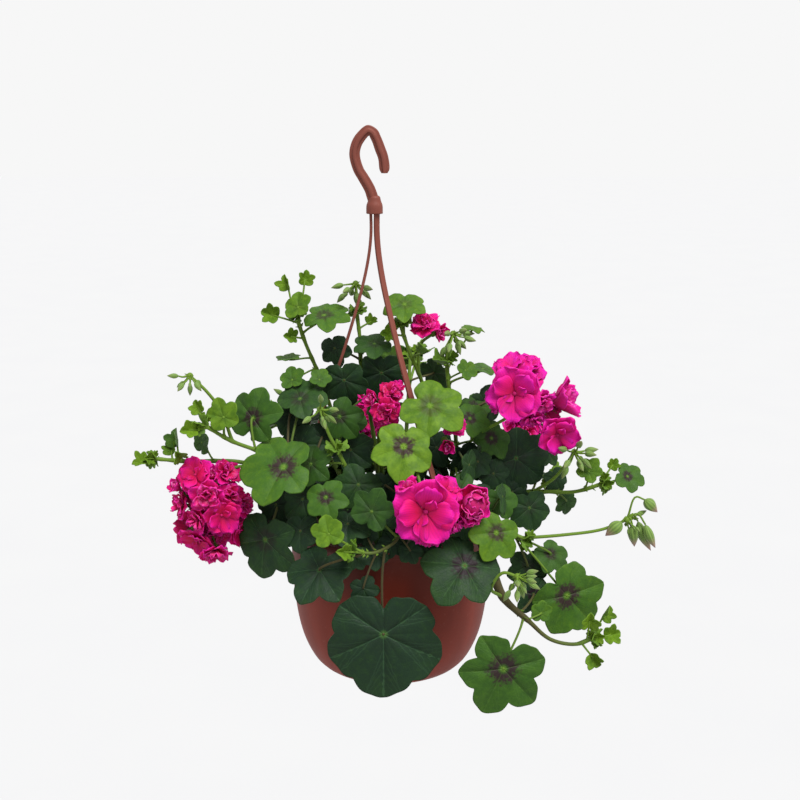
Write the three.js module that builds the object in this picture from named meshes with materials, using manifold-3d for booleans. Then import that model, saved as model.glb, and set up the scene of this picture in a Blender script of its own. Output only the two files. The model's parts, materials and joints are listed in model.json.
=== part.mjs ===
// An ivy-leaved geranium in a plastic hanging pot: bowl-shaped pot, soil, three-strap hanger with a hook,
// leafy stems on the show side, plainer ones behind them, and the magenta bloom heads.
// Millimetres, +Z up, +X right, +Y away from the show side. The origin is the hook's seat, the inner top
// of the hook that rests on whatever the pot hangs from.
// Pot, soil, straps and plant are laid out in the pot's own frame, whose origin is the middle of its base.

import * as THREE from "three";
import { mergeVertices } from "three/addons/utils/BufferGeometryUtils.js";
import Module from "manifold-3d";

const wasm = await Module();
wasm.setup();

// ---- Driving dimensions ----

const SEAT = new THREE.Vector3(-20, 0, 536); // the hook's seat in the pot's frame
const POT_HEIGHT = 155;
const RIM_RADIUS = 111; // outer edge of the rim's flange
const RIM_DEPTH = 7; // height of the flange
const WALL = 2;
const FACETS = 24; // sides of the round pot
// The pot's outer line and its inner line, up to the flange: radius, height.
const BELLY = [[78, 0], [84, 7], [94, 30], [101, 70], [104, POT_HEIGHT - RIM_DEPTH]];
const INSIDE = [[77, WALL], [82, 8], [92, 30], [99, 70], [102, POT_HEIGHT]];
const DRAIN_HOLES = 6;
const DRAIN_RADIUS = 5;
const DRAIN_CIRCLE = 48; // radius on which their middles lie
const DRAIN_SIDES = 8;
const SOIL_TOP = 141;
const SOIL_DOME = 2; // how much higher it stands in the middle than at the wall
const SOIL_GAP = 0.4;
const ROOT_Z = 122; // how far down the stems reach into the soil

const STRAP_AZIMUTHS = { strap_left: 183, strap_front: 303, strap_back: 63 }; // from +X towards +Y
const STRAP_WIDTH = 5.8;
const STRAP_THICK = 2.8;
const STRAP_CIRCLE = 107.2; // radius of the slots in the rim
const STRAP_INSET = 2.4; // from the socket's axis to a strap's inner face
// How far a strap has gone out at a height: height, share of the way from the socket to the rim.
const STRAP_SPREAD = [[471, 0], [440, 0], [405, 0.06], [331, 0.3], [200, 0.83]];
const STRAP_FOOT = 142.5;
const STRAP_RISE = 6; // height over the rim at which a strap turns straight down
const T_BAR = { width: 12, height: 3.6 };
const SLOT_GAP = 0.4;

const SOCKET = { x: -15.2, bottom: 462.5, depth: 8.9, bore: 6.3, groove: 7.1 };
const SOCKET_SIDES = 16;
const SOCKET_OUTLINE = [[8.1, 0], [7.8, 8], [6.4, 12], [5.6, 15.5]]; // radius, height above its lower edge
const SOCKET_CROWN = 2; // height of the cone that closes the socket's top
const BARB = { low: 4.6, high: 6.2, out: 1.5, sunk: 1, width: 2.4 }; // catches over the ledge in the socket
const HOOK_PLATE = 4; // thickness of the flat of the hook
const HOOK_RIB = 8.6; // thickness over the rib along its middle
const RIB_SHARES = [0.3, 0.7]; // the rib's two edges, as shares of the hook's breadth
// Cross-sections of the hook from its socket to its tip, measured from the seat: outer x, z, inner x, z.
const HOOK_SECTIONS = [
  [-0.8, -64, 10.4, -64], [-2.7, -58, 8.7, -58], [-4.5, -52.4, 4.8, -47.4], [-10.6, -41.4, -1.7, -36.2],
  [-15.3, -33, -5.6, -30], [-19.1, -18, -8.9, -18], [-17, -6.4, -7.5, -10], [-11.7, 2.3, -4.1, -4.3],
  [-1.5, 10, 0, 0], [7.5, 6, 1, -1.8], [11.6, -1.5, 3.2, -6.5], [15, -10, 5.7, -13.9],
  [18.2, -19.3, 8.6, -21.7], [19.4, -31.3, 9.8, -31.6], [17.5, -35, 11.5, -35],
];

const BLADE = 0.9; // thickness of a leaf
const PETAL = 0.8; // thickness of a petal
const STEM_RADIUS = 2.3;
const PEDUNCLE_RADIUS = 1.7;
const PETIOLE_RADIUS = 1.25;
const PEDICEL_RADIUS = 0.9;
const BUD_SIDES = 4;
const KNOB = 4.4; // half the breadth of the knob that the buds of an umbel stand on
const CLEAR = 0.6; // growth of a piece where it cuts its way through another
const PAST = 2; // how far a cutter runs past what it cuts

// ---- The plant's layout, in the pot's frame ----
// A route is the line of a stem from its root to its tip; a place without a height lies at the root's.
// A leaf: place of its stalk's end, the way its face looks (azimuth from the show side towards +X, height
// above the level), the turn of its tip from straight down, its radius, and its curl.
// An umbel of buds: the share of the stem at which its stalk leaves, the stalk's way, its centre, azimuth
// and height that it looks in, reach, and number of buds.
// A bloom: its stalk likewise, its centre, the core's radius, how much taller than wide it is, and its
// florets: azimuth and height that each looks in, and its radius.

const STEMS = {
  left_shoot: {
    route: [
      [-42, -28], [-60, -40, 180], [-90, -56, 218], [-121, -68, 240], [-152, -80, 257], [-174, -85, 273],
    ],
    leaves: [
      [-103, -96, 234, -15, 42, -60, 41, -0.1], [-132, -60, 272, -25, 18, 170, 31, -0.08],
      [-89, -30, 285, -15, 52, 150, 30, -0.1], [-156, -86, 281, -10, 15, 200, 19, 0.1],
      [-186, -92, 270, -20, 20, 250, 10, 0.2], [-180, -78, 288, -10, 10, 190, 9, 0.2],
      [-90, -32, 238, -10, 12, 30, 27, -0.1],
    ],
    umbels: [
      {
        at: 0.86, via: [[-158, -70, 288], [-172, -72, 312]], centre: [-186, -78, 317],
        az: -60, el: -50, reach: 16, buds: 6,
      },
    ],
  },
  left_lower: {
    route: [
      [-62, -8], [-84, -20, 178], [-118, -40, 212], [-147, -54, 227], [-199, -64, 231], [-226, -66, 234],
    ],
    leaves: [
      [-121, -85, 158, -25, 5, -10, 40, -0.12], [-184, -52, 246, -80, 5, 180, 15, 0.1],
      [-239, -68, 231, -60, 20, 200, 10, 0.2], [-226, -58, 248, -20, 30, 180, 8, 0.2],
      [-206, -58, 250, -50, 20, 170, 11, 0.15], [-202, -74, 240, 10, 10, 120, 9, 0.15],
      [-85, -72, 195, -20, 20, 20, 27, -0.1],
    ],
    bloom: {
      name: "bloom_left", at: 0.52, via: [[-150, -62, 224], [-164, -66, 212]], centre: [-173, -70, 184],
      core: 29, tall: 1.45,
      florets: [
        [-40, 58, 18], [52, 52, 18], [-78, 10, 19], [-12, 12, 19], [58, -2, 19], [-48, -38, 18],
        [22, -44, 18],
      ],
    },
  },
  upper_left: {
    route: [[-26, 24], [-44, 24, 200], [-62, 20, 262], [-73, 14, 298], [-86, 5, 335], [-93, 0, 360]],
    leaves: [
      [-66, 0, 363, -10, 68, 80, 29, -0.08], [-91, -8, 372, -30, 35, 200, 18, 0.1],
      [-103, 4, 318, -70, 84, 250, 15, 0.1], [-102, 8, 392, -40, 20, 190, 10, 0.3],
      [-85, 10, 397, 20, 15, 150, 10, 0.3], [-118, 4, 362, -60, 25, 230, 12, 0.2],
      [-98, -14, 300, -20, 40, 200, 15, 0.1], [-70, -22, 302, 10, 45, 150, 13, 0.1],
      [-99, -2, 341, -30, 20, 230, 9, 0.2],
    ],
  },
  top_centre: {
    route: [[-4, 34], [-14, 30, 200], [-24, 21, 270], [-30, 15, 304], [-31, 14, 335], [-34, 15, 362]],
    leaves: [
      [-16, 0, 334, 0, 66, -60, 24, -0.08], [-46, -17, 300, -10, -4, 10, 29, -0.1],
      [-9, -6, 305, 10, -5, -10, 31, -0.1], [-50, -36, 268, -8, 14, 40, 25, -0.1],
      [-20, 20, 352, 20, 50, 90, 8, 0.2], [-57, 14, 326, -20, 10, 20, 20, -0.1],
    ],
    umbels: [
      { at: 0.97, via: [[-34, 18, 376]], centre: [-35, 21, 391], az: -20, el: -75, reach: 18, buds: 6 },
    ],
  },
  upper_right: {
    route: [[20, 14], [34, 12, 200], [38, 8, 260], [32, 5, 292], [19, 1, 325], [10, 0, 352]],
    leaves: [
      [14, -1, 374, 0, 58, 0, 25, -0.05], [-1, -4, 344, -30, 20, 250, 10, 0.1],
      [33, -20, 328, 40, 45, 100, 11, 0.1],
    ],
    bloom: {
      name: "bloom_top", at: 0.78, via: [[30, 0, 333]], centre: [42, -2, 344],
      core: 9, tall: 1,
      florets: [[-30, 50, 15], [60, 0, 13]],
    },
  },
  centre_back: {
    route: [[-2, 8], [-8, 0, 190], [-12, -12, 240], [-8, -22, 270]],
    leaves: [[-40, -30, 232, -20, 20, 60, 27, -0.1], [20, -30, 226, 15, 15, -30, 29, -0.1]],
    bloom: {
      name: "bloom_centre", at: 0.97, via: [], centre: [-6, -42, 283],
      core: 13, tall: 1.1,
      florets: [[-45, 20, 15], [25, 40, 15], [0, -28, 16]],
    },
  },
  right_upper: {
    route: [[46, 4], [60, -2, 180], [66, -13, 230], [62, -16, 270], [57, -15, 302], [56, -13, 318]],
    leaves: [
      [38, -68, 288, 0, 44, 55, 37, -0.12], [78, -42, 268, 15, 42, 60, 22, -0.1],
      [93, 2, 308, 60, 80, 90, 20, -0.05], [82, -2, 350, 60, 78, 90, 14, -0.1],
      [76, -76, 231, 62, 5, 0, 21, -0.05], [100, -36, 246, 25, 25, 30, 24, -0.1],
      [66, -94, 210, 15, 20, 20, 26, -0.1], [74, -24, 312, 30, 30, 120, 13, 0.1],
      [46, -32, 322, -20, 35, 200, 11, 0.1], [96, 0, 274, 20, 12, 30, 22, -0.1],
      [74, -32, 226, 5, 10, 20, 20, -0.1],
    ],
    umbels: [
      { at: 0.97, via: [[56, -12, 330]], centre: [62, -11, 346], az: 40, el: -40, reach: 18, buds: 6 },
    ],
    bloom: {
      name: "bloom_right", at: 0.5, via: [[88, -34, 250], [108, -46, 266]], centre: [136, -56, 287],
      core: 25, tall: 1.3,
      florets: [
        [-38, 20, 23], [-60, 68, 18], [58, 52, 18], [76, 2, 20], [20, -38, 20], [-84, -14, 17], [170, 20, 18],
      ],
    },
    bloom2: {
      name: "bloom_middle", at: 0.42, via: [[62, -44, 242]], centre: [52, -68, 254],
      core: 8, tall: 1,
      florets: [[-5, 45, 13], [35, -30, 13]],
    },
  },
  right_long: {
    route: [[62, -4], [92, -10, 166], [128, -22, 184], [155, -30, 188], [184, -36, 190], [211, -38, 199]],
    leaves: [
      [236, -38, 207, 20, 42, 60, 19, 0.05], [195, -50, 216, -15, 30, 150, 15, 0.1],
      [126, -26, 222, 12, 14, 50, 38, -0.1], [138, -50, 178, 15, 8, 10, 26, -0.1],
      [178, -24, 176, 30, 0, 10, 16, -0.1], [222, -30, 216, 50, 50, 120, 8, 0.2],
      [158, -8, 226, 30, 25, 90, 22, -0.1],
    ],
    umbels: [
      {
        at: 0.62, via: [[162, -42, 206], [174, -50, 226]], centre: [180, -50, 236],
        az: 20, el: -20, reach: 19, buds: 6,
      },
    ],
  },
  right_reach: {
    route: [[70, -26], [78, -38, 152], [90, -53, 170], [106, -66, 164], [131, -75, 155]],
    leaves: [
      [100, -112, 176, 14, 25, -30, 28, -0.08], [158, -66, 136, 20, 42, 30, 21, -0.08],
      [108, -84, 202, 75, 12, 0, 20, -0.05], [136, -66, 123, 0, 10, 0, 24, -0.1],
      [173, -86, 100, 14, 6, 40, 43, -0.06], [84, -66, 196, 10, 40, 0, 22, -0.1],
      [107, -64, 192, 20, 25, 20, 22, -0.1],
      [69, -97, 180, 10, 35, 10, 18, -0.1],
    ],
    umbels: [
      {
        at: 0.98, via: [[168, -77, 160], [205, -78, 166]], centre: [224, -78, 170],
        az: 60, el: -35, reach: 22, buds: 6,
      },
    ],
    bloom: {
      name: "bloom_opening", at: 0.3, via: [[88, -76, 184], [86, -104, 196]], centre: [75, -122, 207],
      core: 6, tall: 1,
      florets: [[25, 8, 19]],
    },
  },
  right_lower: {
    route: [
      [58, -46], [66, -60, 152], [80, -84, 165], [96, -103, 138], [108, -112, 110],
      [132, -116, 88], [154, -115, 68], [178, -115, 63], [194, -113, 68],
    ],
    leaves: [
      [105, -150, 53, 2, 4, 20, 46, -0.06], [68, -124, 147, 8, 32, -40, 40, -0.1],
      [212, -110, 70, 40, 30, 90, 11, 0.2], [190, -118, 88, 0, 20, 180, 11, 0.2],
      [206, -106, 90, 60, 20, 150, 10, 0.2], [196, -116, 49, -20, 10, 0, 10, 0.2],
      [145, -108, 92, 10, 20, 170, 13, 0.1], [141, -78, 98, 10, 10, 20, 23, -0.1],
    ],
    umbels: [
      {
        at: 0.42, via: [[106, -128, 132], [114, -138, 150]], centre: [121, -140, 142],
        az: 40, el: -55, reach: 16, buds: 6,
      },
    ],
  },
  front: {
    route: [[4, -58], [8, -80, 155], [9, -102, 171], [4, -120, 169], [-14, -127, 162], [-34, -130, 164]],
    leaves: [
      [-6, -136, 83, 0, 4, 0, 63, -0.07], [-17, -118, 199, -14, 16, 160, 26, 0.1],
      [-66, -122, 143, -14, 46, -20, 37, -0.12], [-56, -136, 184, -15, 25, 200, 18, 0.05],
      [-42, -140, 168, -10, 20, 150, 9, 0.2], [37, -104, 162, 15, 50, -30, 17, -0.1],
      [-23, -104, 173, -5, 30, 10, 15, -0.1],
    ],
  },
  front_left: {
    route: [[-22, -44], [-32, -58, 180], [-42, -74, 226], [-50, -76, 246]],
    leaves: [
      [-60, -106, 209, -10, 32, 20, 24, -0.05], [-30, -90, 216, -5, 20, -30, 27, -0.1],
      [-76, -76, 232, -25, 25, 60, 24, -0.1], [-40, -104, 182, -15, 50, 10, 25, -0.1],
      [-12, -86, 180, 0, 32, 0, 19, -0.1],
    ],
    umbels: [
      { at: 0.97, via: [[-58, -77, 262]], centre: [-66, -77, 286], az: -5, el: 5, reach: 20, buds: 6 },
    ],
  },
  centre_right: {
    route: [[28, -34], [22, -52, 180], [16, -66, 222], [16, -72, 244]],
    leaves: [
      [13, -97, 256, 4, 32, -10, 34, -0.06], [32, -100, 178, 10, 45, -10, 20, -0.1],
      [9, -97, 191, -5, 50, 20, 23, -0.1],
    ],
    bloom: {
      name: "bloom_front", at: 0.84, via: [[20, -92, 240], [27, -108, 228]], centre: [30, -122, 209],
      core: 18, tall: 1.1,
      florets: [[-36, 14, 22], [34, 48, 17], [48, -20, 18], [-34, -56, 18]],
    },
  },
};

// The stems behind are laid out by rule: azimuth of growth from +X towards +Y, how far from the middle the
// root and the tip are, height of the tip, seed, and whether buds or a bloom stand on the stem.
const BACK_STEMS = {
  back_right: { az: 22, root: 50, reach: 185, tip: 170, seed: 23, ends: "bloom" },
  back_high: { az: 72, root: 44, reach: 110, tip: 300, seed: 31, ends: "buds" },
  back_low: { az: 100, root: 64, reach: 172, tip: 140, seed: 47, ends: "bloom" },
  back_left: { az: 142, root: 56, reach: 165, tip: 225, seed: 67, ends: "buds" },
};
const BACK_LEAVES = 4;
const BACK_CREST = 190; // a stem behind rises at least to this height before it falls
const BACK_RISE = 178; // height at which it leaves the pot's mouth
const HEAD_SHARE = 0.66; // where along the stem its head's stalk leaves
const HEAD_LEAD = 0.04; // how much further along the head stands
const HEAD_OUT = 26; // how far out and up from there
const HEAD_UP = 34;
const BEND_OUT = 0.3; // shares of that at which its stalk bends
const BEND_UP = 0.5;

// ---- Small helpers ----

const DEG = Math.PI / 180;

function solid(geometry) {
  const bare = geometry.clone();
  bare.deleteAttribute("normal");
  bare.deleteAttribute("uv");
  const merged = mergeVertices(bare, 1e-4);
  const made = new wasm.Manifold(
    new wasm.Mesh({
      numProp: 3,
      vertProperties: merged.attributes.position.array,
      triVerts: new Uint32Array(merged.index.array),
    }),
  );
  return made.volume() < 0 ? solid(flipped(merged)) : made;
}

function flipped(geometry) {
  const index = geometry.index.array;
  for (let i = 0; i < index.length; i += 3) [index[i], index[i + 1]] = [index[i + 1], index[i]];
  return geometry;
}

function joined(solids) {
  return solids.reduce((all, one) => all.add(one));
}

function largest(made) {
  return made.decompose().reduce((best, body) => (body.volume() > best.volume() ? body : best));
}

function boxesMeet(a, b) {
  const p = a.boundingBox();
  const q = b.boundingBox();
  return [0, 1, 2].every((i) => p.min[i] < q.max[i] && q.min[i] < p.max[i]);
}

function cutBy(made, cutters) {
  const near = cutters.filter((cutter) => boxesMeet(made, cutter));
  return near.reduce((left, cutter) => left.subtract(cutter), made);
}

function meshOf(name, made, look) {
  const { vertProperties, triVerts, numProp } = made.getMesh();
  const geometry = new THREE.BufferGeometry();
  geometry.setAttribute("position", new THREE.BufferAttribute(vertProperties, numProp));
  geometry.setIndex(new THREE.BufferAttribute(triVerts, 1));
  const flat = geometry.toNonIndexed();
  flat.computeVertexNormals();
  const mesh = new THREE.Mesh(flat, new THREE.MeshStandardMaterial(look));
  mesh.name = name;
  return mesh;
}

const LOOKS = {
  pot: { color: "#96402c", roughness: 0.45, metalness: 0 },
  hanger: { color: "#8c4a3c", roughness: 0.4, metalness: 0 },
  soil: { color: "#3a2a20", roughness: 1, metalness: 0 },
  leaf: { color: "#4d8a32", roughness: 0.55, metalness: 0 },
  petal: { color: "#e1108a", roughness: 0.6, metalness: 0 },
};

// The direction that an azimuth from the show side and a height above the level look in.
function looking(azimuth, elevation) {
  const a = azimuth * DEG;
  const e = elevation * DEG;
  return new THREE.Vector3(Math.sin(a) * Math.cos(e), -Math.cos(a) * Math.cos(e), Math.sin(e));
}

// A frame whose third axis looks that way, and whose first is turned by roll from straight down.
function facing(azimuth, elevation, roll) {
  const normal = looking(azimuth, elevation);
  const down = looking(azimuth, elevation - 90);
  const side = normal.clone().cross(down);
  const turn = roll * DEG;
  const tip = down.multiplyScalar(Math.cos(turn)).addScaledVector(side, Math.sin(turn));
  return { tip, across: normal.clone().cross(tip), normal };
}

function tube(points, radius, sides, steps) {
  const section = new THREE.Shape();
  for (let i = 0; i < sides; i++) {
    const turn = (2 * Math.PI * i) / sides;
    section[i ? "lineTo" : "moveTo"](radius * Math.cos(turn), radius * Math.sin(turn));
  }
  section.closePath();
  const path = new THREE.CatmullRomCurve3(points);
  return solid(new THREE.ExtrudeGeometry(section, { extrudePath: path, steps, bevelEnabled: false }));
}

const HUB = [60, 180, 300].map((angle) => angle * DEG); // corners of the small triangle in a sheet's middle
const HUB_SHARE = 0.3; // how far out they lie, as a share of the sheet's radius

// A thin sheet, split into triangles alike on both faces: rings of its outline round a small triangle.
function sheet(place, frame, outline, rings, height, thickness, grow) {
  const radius = Math.hypot(...outline[0]);
  const hubRadius = HUB_SHARE * radius;
  const hub = HUB.map((angle) => [hubRadius * Math.cos(angle), hubRadius * Math.sin(angle)]);
  const flat = rings.flatMap((share) => outline.map(([u, v]) => [u * share, v * share])).concat(hub);
  const edge = outline.length;
  const faces = sheetFaces(outline, rings.length);
  const vertices = [];
  for (const side of [grow, -thickness - grow])
    flat.forEach(([u, v], i) => {
      const wider = i < edge ? 1 + grow / Math.hypot(u, v) : 1;
      vertices.push(
        place
          .clone()
          .addScaledVector(frame.tip, u * wider)
          .addScaledVector(frame.across, v * wider)
          .addScaledVector(frame.normal, side + height(u, v)),
      );
    });
  const below = flat.length;
  const index = faces.flatMap(([a, b, c]) => [a, b, c, below + a, below + c, below + b]);
  for (let i = 0; i < edge; i++) {
    const j = (i + 1) % edge;
    index.push(i, below + i, below + j, i, below + j, j);
  }
  return solid(new THREE.BufferGeometry().setFromPoints(vertices).setIndex(index));
}

// A narrow sheet of two rows of points that run from its tip down either side.
function flatSheet(place, frame, outline, height, thickness, grow) {
  const vertices = [];
  for (const side of [grow, -thickness - grow])
    for (const [u, v] of outline)
      vertices.push(
        place
          .clone()
          .addScaledVector(frame.tip, u + Math.sign(u) * grow)
          .addScaledVector(frame.across, v + Math.sign(v) * grow)
          .addScaledVector(frame.normal, side + height(u, v)),
      );
  const count = outline.length;
  const index = [];
  for (let i = 0; i < count; i++) {
    const j = (i + 1) % count;
    index.push(i, count + i, count + j, i, count + j, j);
  }
  for (let i = 0; i + 1 < count / 2; i++) {
    const mate = count - 1 - i;
    for (const [a, b, c] of [[i, i + 1, mate], [i + 1, mate - 1, mate]])
      index.push(a, b, c, count + a, count + c, count + b);
  }
  return solid(new THREE.BufferGeometry().setFromPoints(vertices).setIndex(index));
}

// The triangles of a sheet's upper face, anticlockwise from above.
function sheetFaces(outline, rings) {
  const count = outline.length;
  const faces = [];
  for (let ring = 0; ring + 1 < rings; ring++)
    for (let i = 0; i < count; i++) {
      const a = ring * count + i;
      const b = ring * count + ((i + 1) % count);
      faces.push([a, b, a + count], [b, b + count, a + count]);
    }
  const inner = (rings - 1) * count;
  const hub = rings * count;
  const nearest = outline.map(([u, v], i) => {
    const [u1, v1] = outline[(i + 1) % count];
    const middle = Math.atan2(v + v1, u + u1);
    const nearness = HUB.map((angle) => Math.cos(angle - middle));
    return nearness.indexOf(Math.max(...nearness));
  });
  for (let i = 0; i < count; i++) {
    const j = (i + 1) % count;
    faces.push([hub + nearest[i], inner + i, inner + j]);
    if (nearest[i] !== nearest[j]) faces.push([hub + nearest[i], inner + j, hub + nearest[j]]);
  }
  faces.push([hub, hub + 1, hub + 2]);
  return faces;
}

// Draws that come out the same on every run.
function dice(seed) {
  let state = seed * 7919 + 17;
  return (low, high) => {
    state = (state * 16807) % 2147483647;
    return low + ((high - low) * state) / 2147483647;
  };
}

// ---- Pot, soil and hanger ----

function lathe(profile) {
  const points = profile.map(([r, z]) => new THREE.Vector2(r, z));
  const geometry = new THREE.LatheGeometry(points, FACETS);
  return solid(geometry.rotateX(Math.PI / 2));
}

function potProfile() {
  const flange = [[RIM_RADIUS, POT_HEIGHT - RIM_DEPTH], [RIM_RADIUS, POT_HEIGHT]];
  return [[0, 0], ...BELLY, ...flange, ...INSIDE.slice().reverse(), [0, WALL]];
}

// The pot as a full body, a little larger: what leaves and florets are cut clear of.
function potGrown() {
  const belly = BELLY.map(([r, z]) => [r + CLEAR, z]);
  const wide = RIM_RADIUS + CLEAR;
  const high = POT_HEIGHT + CLEAR;
  return lathe([[0, 0], ...belly, [wide, POT_HEIGHT - RIM_DEPTH - CLEAR], [wide, high], [0, high]]);
}

function strapPlane(azimuth) {
  const rim = new THREE.Vector2(STRAP_CIRCLE, 0).rotateAround(new THREE.Vector2(), azimuth * DEG);
  const axis = new THREE.Vector2(SOCKET.x, 0);
  const outward = rim.clone().sub(axis);
  return { rim, axis, length: outward.length(), turn: outward.angle() };
}

// Turns a shape drawn in a strap's plane, its distance from the socket's axis and height, into place.
function inStrapPlane(shape, width, azimuth) {
  const plane = strapPlane(azimuth);
  const plate = new THREE.ExtrudeGeometry(shape, { depth: width, bevelEnabled: false, curveSegments: 3 });
  plate.translate(0, 0, -width / 2).rotateX(Math.PI / 2).rotateZ(plane.turn);
  return solid(plate.translate(plane.axis.x, plane.axis.y, 0));
}

function rectangle(x0, z0, x1, z1) {
  return new THREE.Shape([[x0, z0], [x1, z0], [x1, z1], [x0, z1]].map(([x, z]) => new THREE.Vector2(x, z)));
}

function strap(azimuth, grow) {
  const { length } = strapPlane(azimuth);
  const near = STRAP_INSET + STRAP_THICK / 2;
  const line = STRAP_SPREAD.map(([z, share]) => [near + share * (length - near), z]);
  line[0][1] -= SLOT_GAP;
  line.push([length, POT_HEIGHT + STRAP_RISE], [length, STRAP_FOOT]);
  const half = STRAP_THICK / 2 + grow;
  const side = (sign) =>
    line.map(([s, z], i) => {
      const [s0, z0] = line[Math.max(i - 1, 0)];
      const [s1, z1] = line[Math.min(i + 1, line.length - 1)];
      const along = new THREE.Vector2(s1 - s0, z1 - z0).normalize();
      return new THREE.Vector2(s - sign * along.y * half, z + sign * along.x * half);
    });
  const outline = new THREE.Shape([...side(1), ...side(-1).reverse()]);
  const foot = rectangle(length - half, STRAP_FOOT - grow, length + half, STRAP_FOOT + T_BAR.height + grow);
  const face = STRAP_INSET + STRAP_THICK;
  const { low, high, out, sunk } = BARB;
  const barb = rectangle(face - sunk, SOCKET.bottom + low, face + out, SOCKET.bottom + high);
  return joined([
    inStrapPlane(outline, STRAP_WIDTH + 2 * grow, azimuth),
    inStrapPlane(foot, T_BAR.width + 2 * grow, azimuth),
    inStrapPlane(barb, BARB.width, azimuth),
  ]);
}

function pot() {
  const shell = lathe(potProfile());
  const cutters = [];
  for (let i = 0; i < DRAIN_HOLES; i++) {
    const turn = (2 * Math.PI * i) / DRAIN_HOLES;
    const hole = new THREE.CylinderGeometry(DRAIN_RADIUS, DRAIN_RADIUS, 3 * WALL, DRAIN_SIDES);
    const [x, y] = [DRAIN_CIRCLE * Math.cos(turn), DRAIN_CIRCLE * Math.sin(turn)];
    cutters.push(solid(hole.rotateX(Math.PI / 2).translate(x, y, WALL / 2)));
  }
  for (const azimuth of Object.values(STRAP_AZIMUTHS)) {
    const { length } = strapPlane(azimuth);
    const half = STRAP_THICK / 2 + SLOT_GAP;
    const slot = rectangle(length - half, POT_HEIGHT - RIM_DEPTH - PAST, length + half, POT_HEIGHT + PAST);
    cutters.push(inStrapPlane(slot, STRAP_WIDTH + 2 * SLOT_GAP, azimuth));
  }
  return cutBy(shell, cutters);
}

// The soil fills the pot, a little domed, and is cut clear of the stems' feet.
function soil(stemFeet) {
  const wall = INSIDE.filter(([, z]) => z < SOIL_TOP).map(([r, z], i) => {
    return [r - SOIL_GAP, i ? z : z + SOIL_GAP];
  });
  const [mouth] = INSIDE[INSIDE.length - 1];
  const shoulder = [mouth - 2 * SOIL_GAP, SOIL_TOP - SOIL_DOME];
  return largest(cutBy(lathe([[0, WALL + SOIL_GAP], ...wall, shoulder, [0, SOIL_TOP]]), stemFeet));
}

// The outline of the hook between two shares of its breadth, from its outer to its inner edge.
function hookOutline(from, to) {
  const edge = (share) =>
    HOOK_SECTIONS.map(([x0, z0, x1, z1]) => new THREE.Vector2(x0, z0).lerp(new THREE.Vector2(x1, z1), share));
  const outer = new THREE.SplineCurve(edge(from)).getPoints(HOOK_SECTIONS.length - 1);
  const inner = new THREE.SplineCurve(edge(to).reverse()).getPoints(HOOK_SECTIONS.length - 1);
  return new THREE.Shape([...outer, ...inner]);
}

function hookPlate(from, to, thickness) {
  const plate = new THREE.ExtrudeGeometry(hookOutline(from, to), { depth: thickness, bevelEnabled: false });
  return solid(plate.translate(0, 0, -thickness / 2).rotateX(Math.PI / 2).translate(SEAT.x, SEAT.y, SEAT.z));
}

function hookTurned(profile) {
  const points = profile.map(([r, z]) => new THREE.Vector2(r, SOCKET.bottom + z));
  return solid(new THREE.LatheGeometry(points, SOCKET_SIDES).rotateX(Math.PI / 2).translate(SOCKET.x, 0, 0));
}

// The hook: a flat plate with a thicker rib along its middle, on a socket with a pocket for the straps' tops.
function hook() {
  const { bore, groove, depth } = SOCKET;
  const [, topZ] = SOCKET_OUTLINE[SOCKET_OUTLINE.length - 1];
  const socket = hookTurned([[0, 0], ...SOCKET_OUTLINE, [0, topZ + SOCKET_CROWN]]);
  const low = BARB.low - SLOT_GAP;
  const high = BARB.high + SLOT_GAP;
  const ledge = [[bore, low], [groove, low], [groove, high], [bore, high]];
  const pocket = hookTurned([[0, -PAST], [bore, -PAST], ...ledge, [bore, depth], [0, depth]]);
  const bar = joined([hookPlate(0, 1, HOOK_PLATE), hookPlate(...RIB_SHARES, HOOK_RIB)]);
  return joined([bar, socket]).subtract(pocket);
}

// ---- Leaves, buds and florets ----

// Half of a leaf's outline: angle from its tip, share of the leaf's reach that way.
const SMALL_EDGE = { half: [[0, 1], [31, 0.8], [62, 1], [93, 0.8], [128, 1]], sinus: 0.66 };
const LARGE_EDGE = {
  half: [[15, 1], [31, 0.82], [47, 1], [77, 1], [93, 0.82], [108, 1], [138, 1], [162, 0.95]],
  sinus: 0.56,
};
const LARGE_LEAF = 31; // a leaf of more than this radius has the finer edge
const WIDE_LEAF = 44; // and one of more than this radius has a ring of points inside its edge
const INNER_RING = 0.62;

function leafReach(angle) {
  return 0.87 + 0.13 * Math.cos(angle);
}

function leafOutline(radius) {
  const { half, sinus } = radius > LARGE_LEAF ? LARGE_EDGE : SMALL_EDGE;
  const right = half.map(([angle, share]) => [angle * DEG, share]);
  const left = right.filter(([angle]) => angle > 0).map(([angle, share]) => [-angle, share]).reverse();
  return [...right, [Math.PI, sinus], ...left].map(([angle, share]) => {
    const r = radius * share * leafReach(angle);
    return [r * Math.cos(angle), r * Math.sin(angle)];
  });
}

// A leaf-stalk's curve, in shares of its span: it leaves straight for the leaf, leaning a little along the
// stem, and arrives square to the blade.
const PETIOLE_LEAVING = 0.3;
const PETIOLE_LEAN = 0.08;
const PETIOLE_ARRIVING = 0.25;
const PETIOLE_STEPS = 2;
// How far before the nearest point of the stem a leaf-stalk leaves it: a share of the leaf's radius, at most.
const BACK_SHARE = 0.6;
const LONGEST_BACK = 12;
const SMALL_LEAF = 18; // a leaf of less radius has a thinner stalk
const THIN_SHARE = 0.8; // so much thinner
const YOUNG = 12; // a leaf of this radius or less is a young one
const YOUNG_EDGE = [[1, 0.2], [0.5, 0.8], [-0.2, 0.72]]; // one side of its blade: along, out
const YOUNG_STALK = 1.8; // breadth of its flat stalk
const YOUNG_BACK = 0.5; // how far back its stalk leaves the stem, as a share of its radius

const LOBE_TURN = 62 * DEG; // from one lobe's middle to the next
const WAVE = 0.05;

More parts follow.
